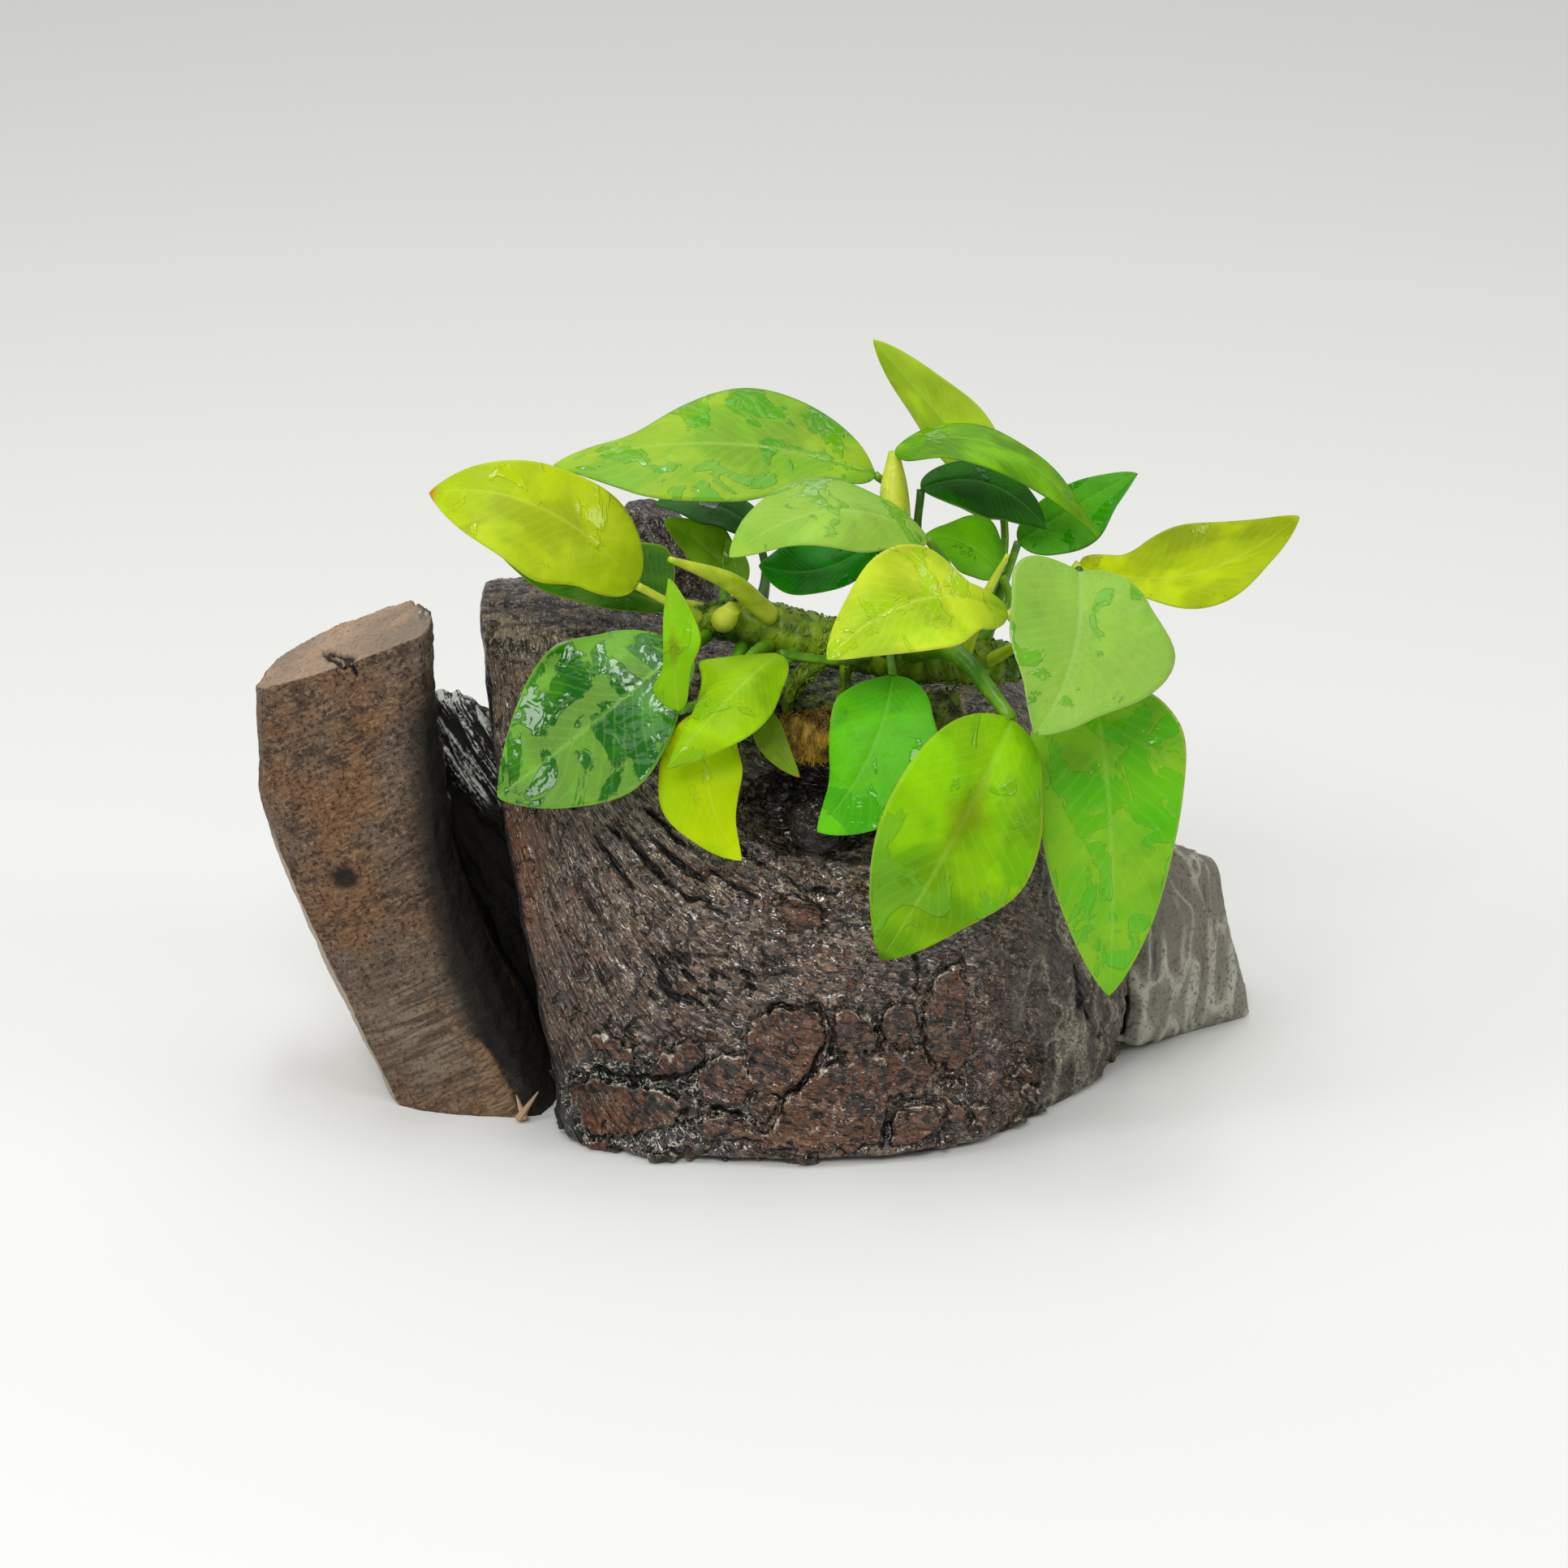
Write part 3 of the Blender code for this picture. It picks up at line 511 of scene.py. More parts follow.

# %% [markdown]
# ## The block: carving
# Now all of it is added up and the points are moved. The crown is lumpy, the right end is folded
# upright, and the hollow under the plant is rough. Beside the height, each point keeps a few
# numbers for the finish: where it is deep, grey or russet, where painted shade goes, or where moss
# and a dry leaf sheath cling to it.

# %% Carve the block
def block_height(spots, facing):
    grain = np.column_stack(block_grain(spots))
    seen = picture_side(facing)
    wander = wandering(spots, 2.6, (21, 22))
    place = photo_spots(spots) + (4.5 * wander + 3 * wandering(spots, 1.1, (23, 24)))
    streaks = streaked(grain, place)
    pits = pitted(grain, place, seen)
    edge = plate_edges(place, spots, seen)
    cut, groove = grooved(place, spots, seen)
    hollow = blob(spots[:, [0, 2]], (6, 64), (15, 11)) * soft_step(0, -12, spots[:, 1])
    crown = soft_step(0.3, 0.8, facing[:, 2])
    right = soft_step(30, 55, spots[:, 0])
    folds = 1 - np.abs(smooth_noise(grain / (1.9, 4, 11) + 0.4 * wander[:, :1], 70))
    lift = 0.7 * layered_noise(spots / 12, 1)
    lift += 0.22 * smooth_noise(grain / (9, 6, 1.5), 2)
    lift += 0.12 * smooth_noise(grain / (5, 3, 0.8), 3)
    lift -= 0.55 * streaks + 0.8 * pits + cut
    lift += soft_step(-0.2, 0.35, edge) * (0.7 + 0.25 * layered_noise(spots / 1.4, 40))
    lift += 0.25 * np.exp(-((edge - 0.4) / 0.3) ** 2)
    lift -= 0.45 * np.exp(-((edge + 0.45) / 0.35) ** 2)
    lift += hollow * 0.6 * layered_noise(spots / 1.8, 50)
    lift += 0.45 * crown * layered_noise(spots / (3, 2.2, 2.2), 60)
    lift += 0.45 * right * (folds ** 3 - 0.3)
    flaky = (blob(place, (960, 1340), (270, 110)) + blob(place, (1010, 1120), (110, 50))
             + blob(place, (1190, 1270), (120, 100)) + 0.5 * (1 - seen))
    moss = 1.4 * blob(place, (1010, 842), (100, 42)) + 0.7 * blob(place, (1190, 835), (70, 30))
    values = {
        "edge": edge,
        "groove": groove,
        # deep: painted shade, nearly black, in the pits, the streaks and the hollow under the plant
        "deep": np.clip(pits + 0.7 * streaks + 0.9 * hollow, 0, 1),
        "grey": np.clip(right * (0.35 + 0.65 * folds ** 6), 0, 1),
        "crown": np.maximum(crown, blob(place, (640, 770), (75, 62)) * seen),
        "flaky": np.clip(flaky, 0, 1),
        "russet": np.clip(1.1 * blob(place, (640, 1090), (26, 130)), 0, 1) * seen,
        # shade: painted shade on the side of the block that faces the left limb
        "shade": soft_step(0.35, 0.8, -facing[:, 0]) * soft_step(-8, -20, spots[:, 0]),
        "lip": np.clip(1.5 * blob(place, (785, 1358), (125, 48)), 0, 1) * seen,
        "moss": np.clip(moss, 0, 1) * seen,
        "sheath": np.clip(1.3 * blob(place, (1166, 862), (30, 22)), 0, 1) * seen,
    }
    return lift, values


block = refined_wood("driftwood_block", BLOCK_FINE)
carve(block, block_height, BLOCK_FACES)
keep_grain(block, block_grain)
print("block faces:", len(block.data.polygons))

# %% [markdown]
# ## The left limb
# The left limb is drier than the block. A slanted saw cut ends it, and its front is a fine
# sawn face with a small knot, three cracks at the top edge, carved strokes low down and a
# bare strip with a torn edge at its foot. The web that ties it to the block is ribbed. Each
# mark could be cut by a solid of its own, but such cuts look clean, and these are worn. So the
# same helpers carve it, and only the places of its marks are new.

# %% Marks on the left limb
LIMB_FINE = 0.5
LIMB_FACES = 120000
SAW_POINTS = ((-91, -15, 78.5), (-61.5, -18, 90), (-77, 2, 84.5))
KNOT_SPOT, KNOT_SIZE, KNOT_RING = (426, 1082), (17, 14), (42, 30)
CARVED_SPOT, CARVED_SIZE = (520, 1275), (95, 75)
CRACKS = (((398, 805), (414, 815), (424, 824)), ((417, 806), (430, 818), (440, 832)),
          ((404, 803), (436, 812)))
CRACK_WIDTH = 2.6
# DARK_EDGE: where the painted shade on the limb's front begins.
DARK_EDGE = ((800, 535), (900, 522), (1000, 528), (1100, 540), (1180, 560), (1250, 585),
             (1300, 605), (1330, 645), (1400, 660))
TORN = ((530, 1236), (552, 1252), (574, 1280), (588, 1312), (586, 1332), (560, 1348),
        (536, 1352))
STRIP = ((577, 1268), (602, 1290), (626, 1330), (644, 1380), (606, 1382), (588, 1352),
         (592, 1325), (584, 1296))

saw_corners = [Vector(point) for point in SAW_POINTS]
saw_side, saw_rise = saw_corners[1] - saw_corners[0], saw_corners[2] - saw_corners[0]
saw_way = np.array(saw_side.cross(saw_rise).normalized())
saw_plane = (np.array(saw_corners[0] + SHIFT), saw_way)


def limb_grain(spots):
    x, y, z = spots.T
    return z, y, x + 0.18 * z


def crack_lines(place):
    crack = np.zeros(len(place))
    for line in CRACKS:
        near = np.exp(-(distance_to_line(place, line) / CRACK_WIDTH) ** 2)
        crack = np.maximum(crack, near)
    return crack


def torn_foot(place, spots, seen):
    """The ragged torn edge and the bare strip beside it."""
    torn = 0.8 * np.exp(-(distance_to_line(place, TORN) / 6) ** 2) * seen
    torn *= soft_step(-0.5, 0.2, smooth_noise(spots / 1.2, 89))
    return torn, soft_step(-2, 5, depth_in_outline(place, STRIP)) * seen


def web_ribs(place, spots):
    """Where the web is, and its ribs, which run down to the right."""
    web = soft_step(-66, -61, spots[:, 0]) * soft_step(-12, -4, spots[:, 1])
    level = 0.87 * place[:, 0] - 0.5 * place[:, 1]
    ribs = np.column_stack((level / 7, spots[:, 1] / 14, place[:, 1] / 45))
    return web, smooth_noise(ribs, 87)


print("saw cut faces", [round(float(way), 2) for way in saw_way])

# %% [markdown]
# ## Carving the left limb
# The knot sinks in a raised ring, the cracks cut the top edge, and small chips are missing
# all round the saw cut. The side towards the block lies in deep shade and is nearly black. A
# lamp can't be kept off one side of a piece, so that shade is kept as a number and painted.

# %% Carve the left limb
def left_height(spots, facing):
    grain = np.column_stack(limb_grain(spots))
    seen = picture_side(facing)
    place = photo_spots(spots) + 3 * wandering(spots, 1.5, (81, 82))
    cut = soft_step(0.93, 0.985, facing @ saw_way)
    near_cut = soft_step(3.5, 0.5, (saw_plane[0] - SHIFT - spots) @ saw_way)
    knot = blob(place, KNOT_SPOT, KNOT_SIZE) * seen
    crack = crack_lines(place)
    carved = blob(place, CARVED_SPOT, CARVED_SIZE) * seen
    torn, strip = torn_foot(place, spots, seen)
    web, ribs = web_ribs(place, spots)
    inner = soft_step(0.3, 0.8, facing[:, 0]) * (1 - web)
    slant = (place[:, 1] - 0.45 * place[:, 0]) / 11
    strokes = smooth_noise(np.column_stack((place[:, 0] / 70, spots[:, 1] / 8, slant)), 86)
    lift = 0.55 * layered_noise(spots / 13, 80) * (1 - cut)
    fine = 0.14 * smooth_noise(grain / (5, 1.6, 1.1), 83) + 0.1 * smooth_noise(spots / 0.9, 84)
    lift += fine * (1 - 0.6 * cut)
    chips = soft_step(0.1, 0.7, smooth_noise(spots / 2.4, 85))
    lift -= 0.5 * near_cut * (1 - cut) * chips
    lift += 0.5 * blob(place, KNOT_SPOT, KNOT_RING) * seen - 1.1 * knot
    lift -= 1.3 * crack * soft_step(0.0, 0.2, seen)
    lift += 0.35 * carved * strokes + 0.7 * torn + 0.4 * strip + 0.8 * web * ribs
    lift += 0.3 * inner * smooth_noise(spots / (2.5, 2.5, 1.3), 88)
    # pale: painted light on the outer side of the limb, which faces left
    pale = soft_step(0.55, 0.85, -facing[:, 0] - 0.35 * facing[:, 2])
    bound = np.interp(place[:, 1], *zip(*DARK_EDGE))
    dark_side = soft_step(-38, 2, place[:, 0] - bound) * seen
    bare = np.maximum(strip, torn)
    shade = np.maximum(soft_step(0.35, 0.75, facing[:, 0]), dark_side) * (1 - web)
    values = {
        "cut": cut,
        # deep: painted shade in the sunken knot, the cracks and the troughs between the web's ribs
        "deep": np.clip(knot + crack + 0.5 * soft_step(0.3, 0.8, -ribs) * web, 0, 1),
        "shade": shade * soft_step(86, 74, spots[:, 2]) * (1 - bare),
        "torn": bare,
        "web": web,
        "pale": pale * soft_step(62, 40, spots[:, 2]),
        "ridge": web * soft_step(-0.6, 0.1, ribs) * soft_step(1010, 920, place[:, 1]),
        "carved": np.clip(carved, 0, 1),
    }
    return lift, values


left_limb = refined_wood("driftwood_left_limb", LIMB_FINE, saw_plane)
carve(left_limb, left_height, LIMB_FACES)
keep_grain(left_limb, limb_grain)
print("left limb faces:", len(left_limb.data.polygons))

# %% [markdown]
# ## The tail
# The tail is the short grey limb at the right. Drying has wrinkled it across its length.
# Wrinkles could be drawn as lines, like the grooves, but they are many and all alike. One
# layer of noise, folded at its middle value, makes sharp crests with round valleys, and the
# sawn end stays flatter.

# %% Carve the tail
def tail_height(spots, facing):
    wander = smooth_noise(spots / 5, 91)
    folds = 1 - np.abs(smooth_noise(spots / (2.0, 3.5, 12) + 0.35 * wander[:, None], 92))
    end = soft_step(0.8, 0.95, facing[:, 0])
    lift = 0.6 * layered_noise(spots / 10, 90) + 0.45 * (folds ** 3 - 0.3) * (1 - end)
    lift += 0.12 * smooth_noise(spots / 0.9, 93)
    low = soft_step(30, 5, spots[:, 2])
    # deep: painted shade in the valleys between the wrinkles
    return lift, {"grey": np.clip(folds ** 6 * (1 - 0.7 * end) + 0.35 * low, 0, 1),
                  "deep": 0.5 * soft_step(0.3, 0.1, folds)}


tail = refined_wood("driftwood_tail", LIMB_FINE)
carve(tail, tail_height, LIMB_FACES)
keep_grain(tail, block_grain)
print("tail faces:", len(tail.data.polygons))

# %% [markdown]
# ## The back limb
# Only the dark tip of this limb shows above the block, so it needs no marks of its own. It gets
# plain upright grain and shares the block's finish, with every number of that finish set to bare
# wood under painted shade.

# %% Carve the back limb
# Share of painted shade that darkens the whole back limb.
BACK_SHADE = 0.7


def back_height(spots, facing):
    lift = 0.6 * layered_noise(spots / 8, 95) + 0.3 * smooth_noise(spots / (1.6, 1.6, 6), 96)
    lift += 0.15 * smooth_noise(spots / 0.9, 97)
    every = np.ones(len(spots))
    return lift, {"shade": BACK_SHADE * every, "edge": -EDGE_REACH * every,
                  "groove": GROOVE_REACH * every}


back_limb = refined_wood("driftwood_back_limb", LIMB_FINE)
carve(back_limb, back_height, LIMB_FACES)
keep_grain(back_limb, limb_grain)
print("back limb faces:", len(back_limb.data.polygons))

# %% [markdown]
# ## Finishes from nodes
# Every finish is built from nodes, because wood and leaves have no two spots alike and an
# image would have to be made first. They could be wired in the shader editor. Here a helper
# adds one node at a time and links it, so a finish reads as a list of steps. Colours are given
# as they look on a screen, from 0 to 255, and are turned into the light values that Blender
# works with.

# %% Colours and nodes
def paint(red, green, blue):
    """A screen colour as Blender's linear one."""
    shares = (value / 255 for value in (red, green, blue))
    return (*(s / 12.92 if s <= 0.04045 else ((s + 0.055) / 1.055) ** 2.4 for s in shares), 1)


def new_finish(name):
    made = bpy.data.materials.new(name)
    made.use_nodes = True
    tree = made.node_tree
    return made, tree, tree.nodes["Principled BSDF"]


def add(tree, kind, settings=None, **inputs):
    """Adds a node. An input is a number, a colour or the output of another node."""
    made = tree.nodes.new("ShaderNode" + kind)
    for key, value in (settings or {}).items():
        setattr(made, key, value)
    for key, value in inputs.items():
        plug(tree, made.inputs[key.replace("_", " ")], value)
    return made


def plug(tree, socket, value):
    if isinstance(value, bpy.types.NodeSocket):
        tree.links.new(value, socket)
    else:
        socket.default_value = value


def dress(piece, finish):
    piece.data.materials.clear()
    piece.data.materials.append(finish)


print("white as a linear colour:", paint(255, 255, 255))

# %% [markdown]
# ## Sums of patterns
# Real surfaces change where one thing overlaps another: wet and low, pale and on a crest. In
# the editor each such rule is a few math nodes. Named after what they do, the same few steps
# can be read as plain sums.

# %% Sums
def sums(tree, operation, first, second=0.0, third=0.0):
    made = tree.nodes.new("ShaderNodeMath")
    made.operation = operation
    for socket, value in zip(made.inputs, (first, second, third)):
        plug(tree, socket, value)
    return made.outputs[0]


def times(tree, first, *others):
    for other in others:
        first = sums(tree, "MULTIPLY", first, other)
    return first


def most(tree, first, *others):
    """The greatest of the values."""
    for other in others:
        first = sums(tree, "MAXIMUM", first, other)
    return first


def rest_of(tree, share):
    return sums(tree, "SUBTRACT", 1.0, share)


def about(tree, pattern, middle, share, base):
    """The base, raised and lowered by the pattern about its middle value."""
    return sums(tree, "MULTIPLY_ADD", sums(tree, "SUBTRACT", pattern, middle), share, base)


def blend(tree, share, first, second):
    """The first colour where share is 0, the second where it is 1."""
    made = add(tree, "MixRGB", Fac=share, Color1=first, Color2=second)
    return made.outputs["Color"]


def threshold(tree, value, low, high, to_low=0.0, to_high=1.0):
    made = add(tree, "MapRange", {"interpolation_type": "SMOOTHSTEP"}, Value=value,
               From_Min=low, From_Max=high, To_Min=to_low, To_Max=to_high)
    return made.outputs["Result"]


print("finishes so far:", len(bpy.data.materials))

# %% [markdown]
# ## Patterns and relief
# A pattern needs a place to be read at. Generated coordinates stretch with the piece, so a
# pattern would be coarser on a large one. Object coordinates are metres on every piece, and
# the kept numbers follow the carving. Relief too fine for the mesh goes in as bumps.

# %% Patterns
def stored(tree, name, output="Fac"):
    return add(tree, "Attribute", {"attribute_name": name}).outputs[output]


def noise(tree, where, scale, detail=3.0, rough=0.55, distort=0.0):
    made = add(tree, "TexNoise", Vector=where, Scale=scale, Detail=detail, Roughness=rough,
               Distortion=distort)
    return made.outputs[0]


def turned(tree, where, degrees):
    """Coordinates turned about the line of sight from the front."""
    made = add(tree, "VectorRotate", {"rotation_type": "Y_AXIS"}, Vector=where,
               Angle=math.radians(degrees))
    return made.outputs["Vector"]


def stretched(tree, where, sizes):
    """Coordinates divided by a size along each axis, so that a pattern is drawn out."""
    scale = tuple(1 / size for size in sizes)
    made = add(tree, "Mapping", Vector=where, Scale=scale)
    return made.outputs["Vector"]


def bumps(tree, shader, height, depth, sockets=("Normal", "Coat Normal")):
    """Fine relief, depth metres high at most, for the surface and for the film on it."""
    made = add(tree, "Bump", Height=height, Distance=depth, Strength=1.0)
    for socket in sockets:
        tree.links.new(made.outputs["Normal"], shader.inputs[socket])


print("kept numbers of the block:", [layer.name for layer in block.data.attributes][:20])

# %% [markdown]
# ## The wet block's patterns
# Wet driftwood is brown where a film of water covers it and red-brown on the plates that stand out
# of the film, and painted shade makes it nearly black where it is deep. One picture of all that,
# stretched over the block, would smear at the sides. So layers of noise, some drawn out along the
# grain, are mixed instead, and the plates' rims are drawn here from the kept distance, ragged by
# noise.

# %% Patterns on the wet block
wet_wood, tree, shader = new_finish("wet driftwood")
grain = stored(tree, "grain", "Vector")
place = add(tree, "TexCoord").outputs["Object"]
dashes = noise(tree, stretched(tree, grain, (3.2, 2.2, 0.75)), 1.0, 5, 0.62, 0.9)
lines = noise(tree, stretched(tree, grain, (7.0, 3.0, 0.36)), 1.0, 4, 0.6, 0.5)
ripples = noise(tree, stretched(tree, grain, (1.7, 1.5, 0.9)), 1.0, 2, 0.5, 1.0)
swell = noise(tree, stretched(tree, grain, (2.8, 2.2, 1.5)), 1.0, 1, 0.35, 0.5)
bands = noise(tree, stretched(tree, place, (0.009, 0.003, 0.0012)), 1.0, 4, 0.6, 0.5)
flakes = noise(tree, place, 330, 4, 0.6, 1.2)
speckle = noise(tree, place, 1700, 3, 0.6)
glints = noise(tree, place, 520, 3, 0.5)
clouds = noise(tree, place, 75, 3, 0.55, 0.4)
flaky, lip = stored(tree, "flaky"), stored(tree, "lip")
islands = about(tree, flakes, 0.55, 9.0, -0.05)
islands = sums(tree, "MULTIPLY_ADD", rest_of(tree, flaky), -0.8, islands)
ragged = most(tree, about(tree, glints, 0.5, 1.3, stored(tree, "edge")), islands)
ragged = sums(tree, "MULTIPLY_ADD", lip, -0.3, ragged)
plates = threshold(tree, ragged, -0.08, 0.1)
# The moat is the trench round each plate. The finish paints it dark, for water and shade.
moat = times(tree, threshold(tree, ragged, -0.6, -0.35), threshold(tree, ragged, 0.0, -0.15))
brim = times(tree, threshold(tree, ragged, 0.02, 0.12), threshold(tree, ragged, 0.4, 0.22))
# Hollows are small holes that the finish paints nearly black as shade.
hollows = most(tree, threshold(tree, dashes, 0.43, 0.385), threshold(tree, flakes, 0.385, 0.35))
hollows = times(tree, hollows, threshold(tree, clouds, 0.3, 0.6, 0.25, 1))
print("nodes for the patterns:", len(tree.nodes))

# %% [markdown]
# ## The wet block's film and plates
# The film of water mirrors the light wherever the wood leans back towards it. Gloss alone could do
# that, but it needs bright things on every side to mirror. So part of the gleam is laid into the
# colour as a painted highlight, by the way the surface tilts, and the troughs between the ripples
# get painted shade. The plates are red-brown with dark pores. The moat that runs round each of them
# and the small hollows are painted nearly black, as shade, with water in the moat.

# %% Colours of the film and the plates
film = blend(tree, threshold(tree, lines, 0.36, 0.62), paint(70, 45, 28), paint(128, 92, 62))
film = blend(tree, threshold(tree, clouds, 0.42, 0.7, 0, 0.8), film, paint(124, 80, 48))
# Painted shade in the troughs between the ripples.
film = blend(tree, threshold(tree, ripples, 0.5, 0.42, 0, 0.9), film, paint(18, 11, 6))
film = blend(tree, threshold(tree, speckle, 0.56, 0.66, 0, 0.25), film, paint(30, 18, 9))
tilt = add(tree, "SeparateXYZ", Vector=add(tree, "NewGeometry").outputs["Normal"]).outputs["Z"]
# Painted highlight where the ripples' crests lean up towards the light.
gleam = threshold(tree, about(tree, ripples, 0.5, 1.8, tilt), 0.14, 0.5, 0, 0.4)
gleam = times(tree, gleam, threshold(tree, glints, 0.4, 0.54, 0.25, 1))
film = blend(tree, gleam, film, paint(176, 160, 140))
film = blend(tree, stored(tree, "russet"), film, paint(132, 74, 34))
red = blend(tree, threshold(tree, glints, 0.42, 0.56), paint(34, 17, 8), paint(112, 68, 40))
red = blend(tree, threshold(tree, clouds, 0.5, 0.62, 0, 0.7), red, paint(120, 68, 28))
red = blend(tree, threshold(tree, speckle, 0.5, 0.6, 0, 0.75), red, paint(22, 10, 3))
# The plates get a weaker share of the same painted highlight.
red = blend(tree, times(tree, gleam, 0.45), red, paint(176, 156, 136))
colour = blend(tree, plates, film, red)
# Painted shade: the hollows, then the moat, go nearly black.
colour = blend(tree, times(tree, hollows, 0.94), colour, paint(12, 7, 3))
colour = blend(tree, times(tree, moat, 0.95), colour, paint(10, 6, 3))
print("nodes so far:", len(tree.nodes))

# %% [markdown]
# ## The wet block's glints
# Where water stands by the lower lip, broken worms of white light lie on black. A coat could mirror
# a lamp there, but its glints are too soft and too few. So they are painted highlights, where one
# layer of noise crosses a middle value, cut into pieces by a finer layer. The black under them is
# painted too, for standing water and shade. Thinner painted glints run along the ripples, and the
# plates' upper rims get a painted highlight.

# %% Glints on the wet block
# Painted highlight on the plates' upper rims, where they tilt up.
shine = times(tree, brim, threshold(tree, tilt, 0.12, 0.5), threshold(tree, glints, 0.46, 0.58))
# The gaps between the plates by the lip are painted near black, for standing water and shade.
pool = times(tree, lip, threshold(tree, ragged, 0.1, -0.1))
pool = threshold(tree, sums(tree, "MULTIPLY_ADD", glints, 1.2, pool), 0.85, 1.0)
colour = blend(tree, pool, colour, paint(16, 10, 4))
squiggle = sums(tree, "ABSOLUTE", sums(tree, "SUBTRACT", glints, 0.52))
squiggle = threshold(tree, squiggle, 0.03, 0.012)
squiggle = times(tree, squiggle, threshold(tree, speckle, 0.42, 0.52))
ridge_glint = times(tree, squiggle, threshold(tree, ripples, 0.46, 0.56, 0, 0.75),
                    threshold(tree, plates, 0.2, 0.8, 0.8, 0.25))
shine = most(tree, shine, times(tree, squiggle, pool), ridge_glint)
# Painted highlights: rims, glints on the dark gaps and glints along the ripples.
colour = blend(tree, shine, colour, paint(226, 216, 196))
print("nodes so far:", len(tree.nodes))

# %% [markdown]
# ## The block's crown, moss, ash and painted shade
# Marks that cover the wet wood come last: the dry banded crown, yellow-green moss, a scrap of pale
# leaf sheath, the ash grey right end, and painted shade, nearly black, in the deep places: the
# pits, streaks and grooves, the hollow under the plant and the side that faces the left limb. Each
# could be a finish of its own on some faces, with a hard edge between them. Blended by the kept
# numbers and ragged by noise, they fade into each other as on real wood.

# %% Marks on the block
top = blend(tree, threshold(tree, bands, 0.38, 0.6), paint(34, 24, 16), paint(152, 132, 106))
top = blend(tree, threshold(tree, speckle, 0.5, 0.4, 0, 0.8), top, paint(196, 178, 158))
top = blend(tree, threshold(tree, glints, 0.5, 0.58, 0, 0.85), top, paint(18, 12, 8))
crown = stored(tree, "crown")
colour = blend(tree, crown, colour, top)
moss = threshold(tree, about(tree, flakes, 0.5, 1.6, stored(tree, "moss")), 0.38, 0.55)
green = blend(tree, threshold(tree, glints, 0.42, 0.58), paint(34, 46, 6), paint(132, 150, 22))
colour = blend(tree, moss, colour, green)
sheath = about(tree, glints, 0.5, 1.2, stored(tree, "sheath"))
colour = blend(tree, threshold(tree, sheath, 0.4, 0.55), colour, paint(186, 158, 124))
grey = stored(tree, "grey")
ash = blend(tree, threshold(tree, grey, 0.25, 0.8), paint(70, 56, 44), paint(166, 156, 134))
ash = blend(tree, threshold(tree, speckle, 0.5, 0.6, 0, 0.8), ash, paint(40, 32, 25))
greyed = about(tree, clouds, 0.5, 0.5, grey)
colour = blend(tree, threshold(tree, greyed, 0.1, 0.42), colour, ash)
# Painted shade: the deep places, the grooves and the side that faces the left limb go nearly black.
deep = most(tree, threshold(tree, stored(tree, "deep"), 0.1, 0.7, 0, 0.94),
            threshold(tree, stored(tree, "groove"), 1.1, 0.6), stored(tree, "shade"))
colour = blend(tree, deep, colour, paint(9, 5, 3))
plug(tree, shader.inputs["Base Color"], colour)
print("nodes so far:", len(tree.nodes))

# %% [markdown]
# ## The block's water
# The wood is wet all over, more in the flaky low places and less on the plates' tops, the
# moss, the ash and the crown. A low roughness could stand for that, but it would also gloss
# the wood under the film. A clear coat lies over the wood instead, with a relief of its own.
# That is much smoother than the wood's, because water fills the small dents and mirrors in
# long strokes.

# %% Water on the block
dull = most(tree, hollows, deep, moat, threshold(tree, grey, 0.02, 0.2, 0, 0.8),
            times(tree, crown, 0.75), moss)
dry_top = times(tree, plates, rest_of(tree, brim))
wetness = threshold(tree, flaky, 0.1, 0.8, 0.75, 1.0)
wetness = most(tree, sums(tree, "MULTIPLY_ADD", dry_top, -0.55, wetness), 0.1)
wetness = times(tree, wetness, rest_of(tree, times(tree, dull, 0.7)))
plug(tree, shader.inputs["Coat Weight"], wetness)
plug(tree, shader.inputs["Roughness"], threshold(tree, clouds, 0.4, 0.6, 0.22, 0.32))
shader.inputs["Coat Roughness"].default_value = 0.07
shader.inputs["Coat IOR"].default_value = 1.8
shader.inputs["Specular IOR Level"].default_value = 0.3
relief = sums(tree, "MULTIPLY_ADD", threshold(tree, ragged, -0.3, 0.25), 0.5,
              times(tree, hollows, -0.5))
for layer, share in ((brim, 0.2), (ripples, 2.0), (times(tree, glints, flaky), 0.7),
                     (speckle, 0.04)):
    relief = sums(tree, "MULTIPLY_ADD", layer, share, relief)
bumps(tree, shader, relief, 0.0013, ["Normal"])
water = sums(tree, "MULTIPLY_ADD", threshold(tree, ragged, -0.4, 0.3), 0.35,
             times(tree, swell, 1.3))
bumps(tree, shader, water, 0.0013, ["Coat Normal"])
for piece, node in ((block, "driftwood_block"), (back_limb, "driftwood_back_limb")):
    dress(piece, wet_wood)
    finished(piece, node)
print("nodes of the wet wood:", len(tree.nodes))

# %% [markdown]
# ## The left limb's finish
# Dry wood is a mid brown with darker patches, pale fibres and pores. A wave texture could give even
# stripes, but real fibres break off and start again, as stretched noise does. They slant, so the
# coordinates are turned before they are drawn out. The carved strokes, the torn foot and the saw
# cut each get a tone of their own, and the outer side that faces left is made pale by painted
# light.

